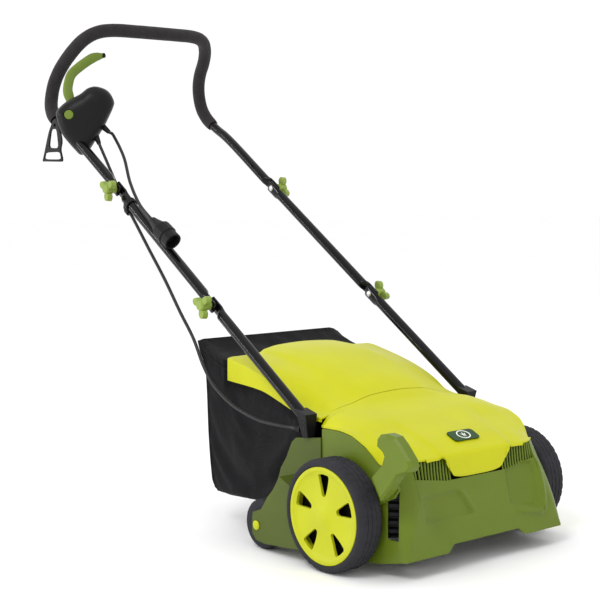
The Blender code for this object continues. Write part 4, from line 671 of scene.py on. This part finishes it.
for side, name in ((-1, "right"), (1, "left")):
    centre = (AXLE, 0.100)
    profile = [(0.0440, 0.0076), (0.0090, 0.0076), (0.0080, 0.0002), (0.0010, 0.0002), (0.0008, 0.0090), (0.0016, 0.0120),
               (0.0030, 0.0180), (0.0048, 0.0300), (0.0058, 0.0500), (0.0050, 0.0680), (0.0034, 0.0765), (0.0014, 0.0795),
               (0.0012, 0.0835), (0.0018, 0.0858), (0.0035, 0.0865), (0.0460, 0.0865), (0.0460, 0.0810), (0.0100, 0.0780),
               (0.0110, 0.0500), (0.0110, 0.0160), (0.0440, 0.0140)]
    # painted shade: a near-black disc behind the windows stands in for the shade inside the wheel
    shade_disc_profile = [(0.0240, 0.0152), (0.0240, 0.0300), (0.0215, 0.0340), (0.0215, 0.0700), (0.0240, 0.0740), (0.0240, 0.0795), (0.0256, 0.0795),
           (0.0256, 0.0735), (0.0231, 0.0695), (0.0231, 0.0345), (0.0256, 0.0305), (0.0256, 0.0152)]
    add("wheel-shade-disc-" + name, lathe_x([(at(side, d), r) for d, r in shade_disc_profile], centre, 64), SLOT_SHADE_PAINT, body="front_wheel_" + name)
    rim = add("wheel-disc-" + name, lathe_x([(at(side, d), r) for d, r in profile], centre, 96), LIME_WHEEL)
    cutters = []
    for k in range(5):
        a = math.radians(90 + 72 * k)
        outline = []
        for r, w in ((0.0350, 0.0036), (0.0385, 0.0056), (0.0580, 0.0112), (0.0690, 0.0136), (0.0725, 0.0120)):
            outline.append((r, w))
        pts = [(r, -w) for r, w in outline] + [(0.0738, 0.0)] + [(r, w) for r, w in reversed(outline)] + [(0.0338, 0.0)]
        pts = [(y * math.cos(a) - z * math.sin(a) + AXLE, 0.100 + y * math.sin(a) + z * math.cos(a)) for y, z in pts]
        ends = [[(x, y, z) for y, z in pts] for x in (at(side, -0.004), at(side, 0.020))]
        cutters.append(add("window-%s-%d" % (name, k), loft_bm(ends), LIME_WHEEL, flat=True))
    cut(rim, cutters)
    rim.data.shade_smooth()
    rim.data.set_sharp_from_angle(angle=math.radians(30))
    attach(rim, "front_wheel_" + name)
    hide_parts("front_rim_" + name)

    seg = 160
    profile = [(0.0020, 0.0869), (0.0006, 0.0885), (0.0000, 0.0915), (0.0008, 0.0948), (0.0030, 0.0975), (0.0060, 0.0993),
               (0.0100, 0.1000), (0.0160, 0.1000), (0.0166, 0.0990), (0.0176, 0.0990), (0.0182, 0.1000), (0.0262, 0.1000),
               (0.0268, 0.0988), (0.0282, 0.0988), (0.0288, 0.1000), (0.0368, 0.1000), (0.0374, 0.0990), (0.0384, 0.0990),
               (0.0390, 0.1000), (0.0440, 0.1000), (0.0480, 0.0993), (0.0510, 0.0975), (0.0530, 0.0948), (0.0535, 0.0915),
               (0.0529, 0.0885), (0.0515, 0.0869)]

    def tread(k, i, r):
        if r < 0.0970:
            return 0.0
        phase = (k + (2 if i > 12 else 0)) % 4
        return -0.0011 if phase < 1 else 0.0
    tyre = add("tyre-tread-" + name, lathe_x([(at(side, d), r) for d, r in profile], centre, seg, wave=tread), TYRE,
               body="front_wheel_" + name, angle=28)
    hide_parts("front_tyre_" + name)

    profile = [(0.2120, 0.0058), (0.2455, 0.0058), (0.2455, 0.0300), (0.2450, 0.0400), (0.2440, 0.0440), (0.2415, 0.0463),
               (0.2380, 0.0470), (0.2195, 0.0470), (0.2160, 0.0463), (0.2135, 0.0440), (0.2125, 0.0400), (0.2120, 0.0300)]
    small = add("small-wheel-" + name, lathe_x([(side * x, r) for x, r in profile], (AXLE + 0.198, 0.047), 72,
                                               wave=lambda k, i, r: -0.0008 if r > 0.045 and k % 4 == 0 else 0.0), TYRE,
                body="small_wheel_" + name, angle=30)
    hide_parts("rear_wheel_" + name)


# ---------------------------------------------------------------- foam sleeve
UPPER = [(0.2150, 0.820, 0.7471), (0.2160, 0.865, 0.7775), (0.2175, 0.900, 0.7985), (0.2195, 0.933, 0.8150),
         (0.2170, 0.963, 0.8370), (0.2120, 0.979, 0.8605), (0.2065, 0.983, 0.8860), (0.2005, 0.9790, 0.9140),
         (0.1930, 0.9630, 0.9440), (0.1830, 0.9320, 0.9770), (0.1680, 0.9080, 1.0020), (0.1450, 0.8885, 1.0180),
         (0.1090, 0.8750, 1.0240), (0.0550, 0.8670, 1.0240)]
bar = [(-x, y, z) for x, y, z in UPPER] + [(0.0, 0.866, 1.0240)] + list(reversed(UPPER))
bar_mid = smooth_path(bar, 46)
first = min(range(20), key=lambda k: (bar_mid[k] - Vector((-0.2185, 0.945, 0.823))).length)
sleeve = [F(*p) for p in smooth_path(bar_mid[first:len(bar_mid) - first], 150)]


def foam_r(t):
    edge = min(t, 1 - t) * 149
    return 0.0118 + 0.0030 * min(1.0, 0.25 + edge / 2.2) ** 0.5


outer = tube_rings(sleeve, foam_r, 28, bumps=lambda k, w: 0.00022 * noise.noise(Vector((k * 0.35, math.cos(w) * 2, math.sin(w) * 2))))
inner = tube_rings(sleeve, 0.0112, 28)
foam = add("foam-sleeve", loft_bm(outer + list(reversed(inner)), closed=True), FOAM, body="upper_handle", angle=60)
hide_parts("foam_grip")


# ---------------------------------------------------------------- handle tubes
TUBE_R, FLAT_X, FLAT_A, OFF, LEG_X, LOW_S, UP_S, END = 0.0105, 0.0037, 0.0125, 0.00405, 0.2135, 0.336, 0.735, 0.014
ACROSS = Vector((0, -math.sin(LEG), math.cos(LEG)))


def leg_stations(side, s0, s1, flat0, flat1):
    """(centre, half size along X, half size across) down one leg, flattened at the bolts."""
    out = []

    def put(s, which, share, tip=1.0):
        off = which * OFF * share
        out.append((on_leg(s, 0, side * (LEG_X + off)), (TUBE_R + (FLAT_X - TUBE_R) * share) * tip,
                    (TUBE_R + (FLAT_A - TUBE_R) * share) * tip))
    if flat0:
        for d, tip in ((0.0, 0.55), (0.0015, 0.8), (0.004, 1.0), (0.034, 1.0)):
            put(s0 + d, flat0, 1.0, tip)
        for d, share in ((0.038, 0.85), (0.042, 0.5), (0.046, 0.15), (0.050, 0.0)):
            put(s0 + d, flat0, share)
    else:
        put(s0, 0, 0)
    if flat1:
        for d, share in ((0.050, 0.0), (0.046, 0.15), (0.042, 0.5), (0.038, 0.85)):
            put(s1 - d, flat1, share)
        for d, tip in ((0.034, 1.0), (0.004, 1.0), (0.0015, 0.8), (0.0, 0.55)):
            put(s1 - d, flat1, 1.0, tip)
    else:
        put(s1, 0, 0)
    return out


def leg_rings(stations, seg=24):
    return [[F(*(c + Vector((math.cos(2 * math.pi * m / seg) * rx, 0, 0)) + ACROSS * math.sin(2 * math.pi * m / seg) * ra))
             for m in range(seg)] for c, rx, ra in stations]


for side, name in ((-1, "right"), (1, "left")):
    piece = add("lower-leg-" + name, loft_bm(leg_rings(leg_stations(side, -0.008, LOW_S + END, 0, -1))), TUBE,
                body="chassis", angle=50)
    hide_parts("lower_tube_" + name)
    piece = add("middle-leg-" + name, loft_bm(leg_rings(leg_stations(side, LOW_S - END, UP_S + END, 1, -1))), TUBE,
                body="middle_handle", angle=50)
    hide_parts("middle_tube_" + name)
    # saddle washers under the knobs
    for where, s, owner in (("lower", LOW_S, "chassis"), ("upper", UP_S, "middle_handle")):
        c = on_leg(s)
        piece = add("bolt-washer-%s-%s" % (where, name), lathe_x(
            [(side * 0.2214, 0.0036), (side * 0.2214, 0.0092), (side * 0.2219, 0.0096), (side * 0.2221, 0.0090),
             (side * 0.2221, 0.0036)], (c.y + AXLE, c.z), 28), STEEL, body=owner)

bar_fine = [F(*p) for p in smooth_path(bar_mid, 130)]
seg = 24
rings = leg_rings(leg_stations(-1, UP_S - END, 0.86, 1, 0)[:-1], seg)
normal = Vector((1, 0, 0))
for k, p in enumerate(bar_fine):
    a, b = bar_fine[max(k - 1, 0)], bar_fine[min(k + 1, len(bar_fine) - 1)]
    t = (b - a).normalized()
    normal = (normal - t * normal.dot(t)).normalized()
    side_dir = normal.cross(t)
    rings.append([p + normal * math.cos(2 * math.pi * m / seg) * TUBE_R + side_dir * math.sin(2 * math.pi * m / seg) * TUBE_R
                  for m in range(seg)])
end_ref, last_c = rings[-1], bar_fine[-1]
for centre, rx, ra in reversed(leg_stations(1, UP_S - END, 0.86, 1, 0)[:-1]):
    ring = []
    for q in end_ref:
        d = q - last_c
        cx, ca = d.x / TUBE_R, d.dot(ACROSS) / TUBE_R
        scale = math.hypot(cx, ca)
        ring.append(F(*centre) + Vector((cx / scale * rx, 0, 0)) + ACROSS * (ca / scale * ra))
    rings.append(ring)
bm = loft_bm(rings)
pin = bmesh.ops.create_cone(bm, cap_ends=True, segments=20, radius1=0.0030, radius2=0.0030, depth=0.0175,
                            matrix=Matrix.Translation(F(-0.22875, 0.9280, 0.8125)) @ Matrix.Rotation(math.pi / 2, 4, "Y"))
upper = add("upper-bar-look", bm, TUBE, body="upper_handle", angle=50)
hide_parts("upper_bar")


# ---------------------------------------------------------------- switch box, hook and lever tip
BOX_C = Vector((-0.1850, 0.8600, 0.8150))
BOX_N = unit(-0.5309, -0.8460, -0.0492)
BOX_1 = Vector((0, 0, 1)).cross(BOX_N).normalized()
BOX_2 = BOX_N.cross(BOX_1)
BOX_FACE = [(0.0163, 0.0803), (0.0401, 0.0706), (0.0529, 0.0489), (0.0505, 0.0336), (0.0405, 0.0120), (0.0301, -0.0080),
            (0.0122, -0.0365), (-0.0058, -0.0629), (-0.0211, -0.0694), (-0.0340, -0.0584), (-0.0574, -0.0300),
            (-0.0670, -0.0110), (-0.0718, 0.0071), (-0.0736, 0.0245), (-0.0603, 0.0397), (-0.0450, 0.0507),
            (-0.0209, 0.0638), (-0.0033, 0.0769)]


def box_point(a, b, t):
    return F(*(BOX_C + BOX_1 * a + BOX_2 * b + BOX_N * t))


def closed_curve(points, count):
    """A smooth closed outline through the points, a little inside their corners."""
    pts = np.array(points)
    out = []
    n_pts = len(pts)
    for k in range(n_pts):
        a, b, c, d = pts[k - 1], pts[k], pts[(k + 1) % n_pts], pts[(k + 2) % n_pts]
        for t in np.linspace(0, 1, count // n_pts, endpoint=False):
            out.append(0.5 * (2 * b + (c - a) * t + (2 * a - 5 * b + 4 * c - d) * t ** 2 + (3 * b - a - 3 * c + d) * t ** 3))
    return out


face = closed_curve(BOX_FACE, 90)
profile = [(-0.0350, 0.55), (-0.0342, 0.66), (-0.0315, 0.79), (-0.0270, 0.885), (-0.0200, 0.955), (-0.0100, 0.992), (-0.0014, 1.0),
           (-0.0008, 0.982), (0.0008, 0.982), (0.0014, 1.0), (0.0100, 0.990), (0.0180, 0.960), (0.0245, 0.905), (0.0300, 0.800),
           (0.0332, 0.680), (0.0348, 0.560), (0.0355, 0.420), (0.0357, 0.200)]
bm = loft_bm([[box_point(-0.008 + (a + 0.008) * k, 0.006 + (b - 0.006) * k, t) for a, b in face] for t, k in profile])
# raised panel on the upper right of the cover, and cooling ribs beneath it
panel = closed_curve([(0.010, 0.060), (0.030, 0.056), (0.038, 0.040), (0.030, 0.018), (0.016, 0.012), (0.006, 0.030)], 36)
loft_bm([[box_point(a, b, 0.0240) for a, b in panel], [box_point(a, b, 0.0372) for a, b in panel],
         [box_point(0.022 + (a - 0.022) * 0.95, 0.036 + (b - 0.036) * 0.95, 0.0384) for a, b in panel],
         [box_point(0.022 + (a - 0.022) * 0.86, 0.036 + (b - 0.036) * 0.86, 0.0390) for a, b in panel]], bm=bm)
for k in range(5):
    rib = [(-0.0120 + 0.0062 * k, -0.006 - 0.0010 * k), (-0.0092 + 0.0062 * k, -0.006 - 0.0010 * k),
           (-0.0152 + 0.0062 * k, -0.036 + 0.0030 * k), (-0.0180 + 0.0062 * k, -0.036 + 0.0030 * k)]
    loft_bm([[box_point(a, b, 0.0240) for a, b in rib], [box_point(a, b, 0.0366) for a, b in rib]], bm=bm)
shell_box = add("switch-box-look", bm, BOX_BLACK, angle=35)
LEVER = [(-0.2165, 0.8935, 0.8440), (-0.2150, 0.8940, 0.8520), (-0.2127, 0.8960, 0.8650), (-0.2140, 0.9030, 0.8855),
         (-0.2080, 0.9100, 0.9035), (-0.1970, 0.9150, 0.9240), (-0.1785, 0.9130, 0.9410), (-0.1500, 0.9020, 0.9620),
         (-0.1252, 0.8950, 0.9691)]


def lever_rings(more_wide, more_thin, pts, seg=8, total=15):
    out = []
    for k, p in enumerate(pts):
        a, b = pts[max(k - 1, 0)], pts[min(k + 1, len(pts) - 1)]
        t = (b - a).normalized()
        back = Vector((0.25, 1.0, 0.35))
        thin = (back - t * back.dot(t)).normalized()
        wide = t.cross(thin)
        where = k * 14 / (total - 1)
        grow = min(1.0, 0.55 + where / 6.0) * float(np.interp(where, [0, 12, 13, 14], [1, 1, 0.8, 0.45]))
        ring = []
        for m in range(seg):
            a = 2 * math.pi * (m + 0.5) / seg
            ca, sa = math.cos(a), math.sin(a)
            ca, sa = math.copysign(abs(ca) ** 0.8, ca), math.copysign(abs(sa) ** 0.8, sa)
            ring.append(F(*(p + wide * (ca * (0.0112 * grow + more_wide)) + thin * (sa * (0.0055 * min(1, grow + 0.2) + more_thin)))))
        out.append(ring)
    return out


cutters = []
slot_pts = smooth_path(LEVER, 15)[:6]
slot_pts[0] = slot_pts[0] - Vector((0, 0, 0.004))
cutters.append(add("lever-slot", loft_bm(lever_rings(0.0030, 0.0050, slot_pts)), BLACK, flat=True))
button_at = BOX_C + BOX_1 * -0.0452 + BOX_2 * 0.0185 + BOX_N * 0.0300
bm = bmesh.new()
bmesh.ops.create_cone(bm, cap_ends=True, segments=40, radius1=0.0109, radius2=0.0109, depth=0.080,
                      matrix=Matrix.Translation(F(*button_at)) @ BOX_N.to_track_quat("Z", "Y").to_matrix().to_4x4())
cutters.append(add("button-bore", bm, BLACK, flat=True))
bm = bmesh.new()
bmesh.ops.create_cone(bm, cap_ends=True, segments=40, radius1=0.0215, radius2=0.0215, depth=0.009,
                      matrix=Matrix.Translation(F(-0.2330, 0.9280, 0.8125)) @ Matrix.Rotation(math.pi / 2, 4, "Y"))
cutters.append(add("hook-room", bm, BLACK, flat=True))
cut(shell_box, cutters)
shell_box.data.shade_smooth()
shell_box.data.set_sharp_from_angle(angle=math.radians(38))
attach(shell_box, "upper_handle")
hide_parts("switch_box")

# raised rim round the button
bm = bmesh.new()
turn = BOX_N.to_track_quat("X", "Z").to_matrix().to_4x4()
rim_profile = [(-0.0100, 0.0108), (0.0022, 0.0108), (0.0030, 0.0116), (0.0026, 0.0128), (0.0005, 0.0136), (-0.0100, 0.0140)]
rings = []
for k in range(40):
    a = 2 * math.pi * k / 40
    rings.append([Vector((x, r * math.cos(a), r * math.sin(a))) for x, r in rim_profile])
loft_bm(rings, closed=True, bm=bm)
bmesh.ops.transform(bm, matrix=Matrix.Translation(F(*button_at)) @ turn, verts=bm.verts)
add("button-rim", bm, BOX_BLACK, body="upper_handle")

# lever blade
fine_lever = smooth_path(LEVER, 43)
blade = add("lever-blade", loft_bm(lever_rings(0.0, 0.0, fine_lever, seg=20, total=43)), GREEN, body="trigger", angle=50)
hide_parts("switch_lever")
bm = bmesh.new()
end_p, end_d = F(*fine_lever[-1]), (fine_lever[-1] - fine_lever[-3]).normalized()
loft_bm(tube_rings([end_p - end_d * 0.004, end_p - end_d * 0.001, end_p + end_d * 0.003, end_p + end_d * 0.0045],
                   lambda t: 0.0056 if 0.2 < t < 0.8 else (0.0050 if t <= 0.2 else 0.0030), 16), bm=bm)
add("lever-tip", bm, BLACK, body="trigger", angle=50)

# cord hook: a round-edged frame with two slots
hook_outline = [(0.9420, 0.8155), (0.9370, 0.8230), (0.9280, 0.8265), (0.9190, 0.8230), (0.9142, 0.8155),
                (0.8975, 0.7780), (0.9067, 0.7570), (0.8980, 0.7312), (0.9850, 0.7330), (0.9570, 0.7955)]


def rounded(points, times=2, share=0.22):
    """The outline with its corners cut back, more finely each time."""
    for _ in range(times):
        new = []
        for k, (y0, z0) in enumerate(points):
            y1, z1 = points[(k + 1) % len(points)]
            new += [(y0 + (y1 - y0) * share, z0 + (z1 - z0) * share), (y1 - (y1 - y0) * share, z1 - (z1 - z0) * share)]
        points = new
    return points


hook_outline = rounded(hook_outline[:7] + [(0.8990, 0.7400), (0.8985, 0.7312), (0.9120, 0.7312), (0.9710, 0.7330), (0.9850, 0.7330),
                                           (0.9795, 0.7430), (0.9570, 0.7955)], 3)
bm = bmesh.new()
rings = []
mid = Vector((0, sum(y for y, _ in hook_outline) / len(hook_outline), sum(z for _, z in hook_outline) / len(hook_outline)))
for x, inset in ((-0.2347, 0.0010), (-0.2342, 0.0), (-0.2313, 0.0), (-0.2308, 0.0010)):
    ring = []
    for y, z in hook_outline:
        d = Vector((0, y, z)) - mid
        d = d * (1 - inset / d.length)
        ring.append(F(x, (mid + d).y, (mid + d).z))
    rings.append(ring)
hook = add("cord-hook-look", loft_bm(rings), BLACK, angle=30)
cutters = []
for pts in ([(0.9030, 0.7362), (0.9770, 0.7382), (0.9715, 0.7530), (0.9085, 0.7530)], [(0.9130, 0.7610), (0.9560, 0.7630), (0.9450, 0.8040), (0.9205, 0.8040)]):
    cutters.append(add("hook-slot", loft_bm([[F(x, y, z) for y, z in rounded(pts, 2, 0.14)] for x in (-0.25, -0.22)]), BLACK, flat=True))
bm = bmesh.new()
bmesh.ops.create_cone(bm, cap_ends=True, segments=24, radius1=0.0034, radius2=0.0034, depth=0.02,
                      matrix=Matrix.Translation(F(-0.2328, 0.9280, 0.8125)) @ Matrix.Rotation(math.pi / 2, 4, "Y"))
cutters.append(add("hook-pin-hole", bm, BLACK, flat=True))
cut(hook, cutters)
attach(hook, "hook")
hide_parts("cord_hook")


# ---------------------------------------------------------------- bag
BAG_Y = 0.137


def bag_rear_y(z):
    return smooth_table(z, [0.055, 0.075, 0.169, 0.299, 0.330, 0.352, 0.372], [0.394, 0.409, 0.4237, 0.4313, 0.440, 0.455, 0.4635])


def bag_point(side, level, v):
    """level 0 bottom .. 1 top; v 0 mouth .. 1 rear."""
    y0 = BAG_Y + (0.445 - BAG_Y) * v
    low = smooth_table(y0, [0.137, 0.212, 0.240, 0.300, 0.390], [0.0960, 0.0955, 0.0730, 0.0670, 0.0640])
    high = smooth_table(y0, [0.137, 0.170, 0.220, 0.300, 0.362, 0.400, 0.445],
                        [0.2430, 0.2660, 0.2930, 0.3180, 0.3320, 0.3450, 0.3680])
    z = low + (high - low) * level
    y = BAG_Y + (bag_rear_y(z) - BAG_Y) * (y0 - BAG_Y) / (0.445 - BAG_Y)
    cheek = float(np.interp(y, [0.1225, 0.160, 0.206, 0.260, 0.362], [0.248, 0.256, 0.271, 0.286, 0.295])) - 0.018
    narrow = (1 - step((y - 0.366) / 0.012)) * step((z - cheek) / 0.012)
    return Vector((side * (0.1970 - 0.0108 * narrow - 0.004 * v), y, z))


def bag_ring(v, sides=26, tops=26):
    """One section of the bag, from the right top corner down, under and up the left side."""
    top_z = bag_point(1, 1, v).z
    pts = []
    for k in range(sides + 1):
        pts.append((-1, 1 - k / sides))
    for k in range(1, tops):
        pts.append((None, -1 + 2 * k / tops, 0))
    for k in range(sides + 1):
        pts.append((1, k / sides))
    for k in range(1, tops):
        pts.append((None, 1 - 2 * k / tops, 1))
    out = []
    for p in pts:
        if p[0] is None:
            a, b = bag_point(-1, p[2], v), bag_point(1, p[2], v)
            q = a.lerp(b, (p[1] + 1) / 2)
        else:
            q = bag_point(p[0], p[1], v)
        # round the four long corners
        low_z = bag_point(1, 0, v).z
        for side in (-1, 1):
            for corner_z, sign in ((top_z, 1), (low_z, -1)):
                r = (0.030 if side > 0 else 0.010) * (0.4 + 0.6 * v) if sign > 0 else 0.016
                edge = abs(bag_point(side, 1.0 if sign > 0 else 0.0, v).x)
                cx, cz = side * (edge - r), corner_z - sign * r
                if side * (q.x - cx) > 0 and sign * (q.z - cz) > 0:
                    d = Vector((q.x - cx, 0, q.z - cz))
                    if d.length > r:
                        d *= r / d.length
                        q = Vector((cx + d.x, q.y, cz + d.z))
        out.append(q)
    return out


N_V = 60
rings = [bag_ring(k / N_V) for k in range(N_V + 1)]
bm = bmesh.new()
made = []
for k, ring in enumerate(rings):
    made.append([bm.verts.new(F(*p)) for p in ring])
n = len(made[0])
for k in range(N_V):
    for i in range(n):
        j = (i + 1) % n
        bm.faces.new((made[k][i], made[k][j], made[k + 1][j], made[k + 1][i]))
# the rear panel, row by row between the two sides of the last section
last = made[-1]
SIDES_N, TOPS_N = 26, 26
right_col = [last[k] for k in range(SIDES_N + 1)]
left_col = [last[SIDES_N + TOPS_N + SIDES_N - k - 0] for k in range(SIDES_N + 1)]
bottom_row = [last[SIDES_N + k] for k in range(TOPS_N + 1)]
top_row = [last[0]] + [last[n - k] for k in range(1, TOPS_N)] + [last[SIDES_N + TOPS_N + SIDES_N]]
rows = [top_row]
for k in range(1, SIDES_N):
    a, b = right_col[k], left_col[k]
    row = [a]
    for i in range(1, TOPS_N):
        t = i / TOPS_N
        p = a.co.lerp(b.co, t)
        row.append(bm.verts.new(p))
    row.append(b)
    rows.append(row)
rows.append(bottom_row)
for k in range(len(rows) - 1):
    for i in range(TOPS_N):
        bm.faces.new((rows[k][i], rows[k][i + 1], rows[k + 1][i + 1], rows[k + 1][i]))
bm.normal_update()
bag = add("collection-bag", bm, FABRIC, angle=60)
mesh = bag.data
co0 = np.array([v.co for v in mesh.vertices])


def seam_share(p):
    """1 on the mouth and the long sewn edges, which hold the shape, 0 in the middle of a panel."""
    y = p[1] - AXLE
    v = (y - BAG_Y) / (bag_rear_y(p[2]) - BAG_Y)
    ring = bag_point(1, 1, min(max(v, 0), 1)).z, bag_point(1, 0, min(max(v, 0), 1)).z
    near_mouth = step((0.030 - (y - BAG_Y)) / 0.02)
    side = abs(abs(p[0]) - 0.192) < 0.012
    rear = v > 0.985
    top, low = abs(p[2] - ring[0]) < 0.008, abs(p[2] - ring[1]) < 0.006
    hits = sum((side, rear, top or low))
    under_flap = top and y < 0.372
    return max(near_mouth, 1.0 if hits >= 2 else 0.0, 1.0 if under_flap else 0.0)


weights = np.array([seam_share(p) for p in co0])
group = bag.vertex_groups.new(name="held")
for k, w in enumerate(weights):
    if w > 0:
        group.add([k], float(w), "REPLACE")
cloth = bag.modifiers.new("cloth", "CLOTH")
s = cloth.settings
s.quality = 6
s.mass = 0.25
s.tension_stiffness = s.compression_stiffness = 12
s.shear_stiffness = 8
s.bending_stiffness = 0.4
s.vertex_group_mass = "held"
s.pin_stiffness = 1.0
s.shrink_min = -0.012
s.effector_weights.gravity = 1.0
cloth.collision_settings.use_collision = False
scene = bpy.context.scene
scene.frame_start, scene.frame_end = 1, 22
cloth.point_cache.frame_start, cloth.point_cache.frame_end = 1, 22
for f in range(1, 23):
    scene.frame_set(f)
graph = bpy.context.evaluated_depsgraph_get()
moved = np.array([v.co for v in bag.evaluated_get(graph).data.vertices])
bag.modifiers.clear()
scene.frame_set(1)
move = moved - co0
size = np.linalg.norm(move, axis=1, keepdims=True)
move = np.where(size > 0.009, move * 0.009 / np.maximum(size, 1e-9), move)
# panels may hang in, and stand out by no more than the room beside them
outward = np.where(move[:, 0] * np.sign(co0[:, 0]) > 0.003, 0.003 / np.maximum(np.abs(move[:, 0]), 1e-9), 1.0)
move[:, 0] *= outward
co1 = co0 + move
# creases across the panels: long shallow folds that follow gravity
normals = np.array([v.normal for v in mesh.vertices])
for k, p in enumerate(co1):
    free = 1 - weights[k]
    y, z = p[1] - AXLE, p[2]
    f = 0.0022 * noise.noise(Vector((y * 9 + p[0] * 6, z * 4, 1.7))) + 0.0012 * noise.noise(Vector((y * 26, z * 12 + p[0] * 22, 4.1)))
    f += 0.0006 * noise.noise(Vector((y * 70, z * 46, p[0] * 60)))
    co1[k] = p + normals[k] * (f * free - 0.0010 * free)
mesh.vertices.foreach_set("co", co1.astype(np.float32).ravel())
mesh.update()
mod = bag.modifiers.new("wall", "SOLIDIFY")
mod.thickness = 0.0016
mod.offset = -1.0
apply(bag)
bag.data.shade_smooth()
bag.data.set_sharp_from_angle(angle=math.radians(65))
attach(bag, "bag")
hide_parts("bag_fabric")

# piping sewn along the rear edges, and down the two sides
bm = bmesh.new()
def seam(points, r=0.0016):
    loft_bm(tube_rings(smooth_path(points, max(8, len(points) * 3)), r, 8), bm=bm)


rear_right = [Vector(co1[k]) for k in range(N_V * n, N_V * n + SIDES_N + 1)]
rear_left = [Vector(co1[N_V * n + SIDES_N + TOPS_N + k]) for k in range(SIDES_N + 1)]
seam(rear_right[::2])
seam(rear_left[::2])
seam([Vector(co1[k * n + 2]) for k in range(40, N_V + 1, 4)], 0.0013)
add("bag-piping", bm, PIPING, body="bag", angle=60)


# ---------------------------------------------------------------- floor and light
def plane(name, size, at, mat):
    bm = bmesh.new()
    bmesh.ops.create_grid(bm, x_segments=2, y_segments=2, size=size)
    mesh = bpy.data.meshes.new(name)
    bm.to_mesh(mesh)
    bm.free()
    obj = bpy.data.objects.new(name, mesh)
    obj.location = at
    ROOT.objects.link(obj)
    mesh.materials.append(mat)
    return obj


FLOOR = material("floor_look", (251, 251, 251), rough=0.75, vary=0.01, patch=3, bump=0.0)
floor = plane("floor", 30.0, (0, 0, -0.0005), FLOOR)


def light(name, at, target, size, power, tint=(1, 1, 1)):
    data = bpy.data.lights.new(name, "AREA")
    data.shape = "RECTANGLE"
    data.size, data.size_y = size
    data.energy = power
    data.color = tint
    obj = bpy.data.objects.new(name, data)
    ROOT.objects.link(obj)
    obj.location = at
    obj.rotation_euler = (Vector(target) - Vector(at)).to_track_quat("-Z", "Y").to_euler()
    return obj


light("key", (-2.6, -1.2, 3.0), (0, 0, 0.3), (1.1, 0.9), 42)
light("fill", (2.2, -3.0, 1.8), (0, -0.2, 0.2), (2.4, 1.8), 4)
light("top", (0.2, 0.2, 3.8), (0, 0, 0.2), (3.2, 3.2), 8)
light("rim", (0.8, 3.2, 2.0), (0, 0, 0.4), (2.4, 1.4), 6)
# a long narrow light set where the round handle tubes mirror it to the camera
tube_at = F(0, *(on_leg(0.45).yz))
tube_dir = (F(0, *(on_leg(0.6).yz)) - F(0, *(on_leg(0.3).yz))).normalized()
to_cam = (bpy.context.scene.camera.location - tube_at).normalized()
axial = -to_cam.dot(tube_dir)
cam_side = (to_cam - tube_dir * to_cam.dot(tube_dir)).normalized()
turned = Matrix.Rotation(math.radians(-55.0), 3, tube_dir) @ cam_side
aim = (tube_dir * axial + turned * math.sqrt(max(0.0, 1 - axial * axial))).normalized()
strip = light("strip", tube_at + aim * 4.0, tube_at, (0.16, 3.0), 36)
back = aim
along = (tube_dir - back * tube_dir.dot(back)).normalized()
across = along.cross(back)
strip.rotation_euler = Matrix((across, along, back)).transposed().to_euler()
world = bpy.data.worlds.new("studio")
world.use_nodes = True
world.node_tree.nodes["Background"].inputs["Color"].default_value = (1.0, 1.0, 1.0, 1)
world.node_tree.nodes["Background"].inputs["Strength"].default_value = 1.03
bpy.context.scene.world = world
bpy.context.scene.view_settings.view_transform = "Standard"
bpy.context.scene.view_settings.look = "None"
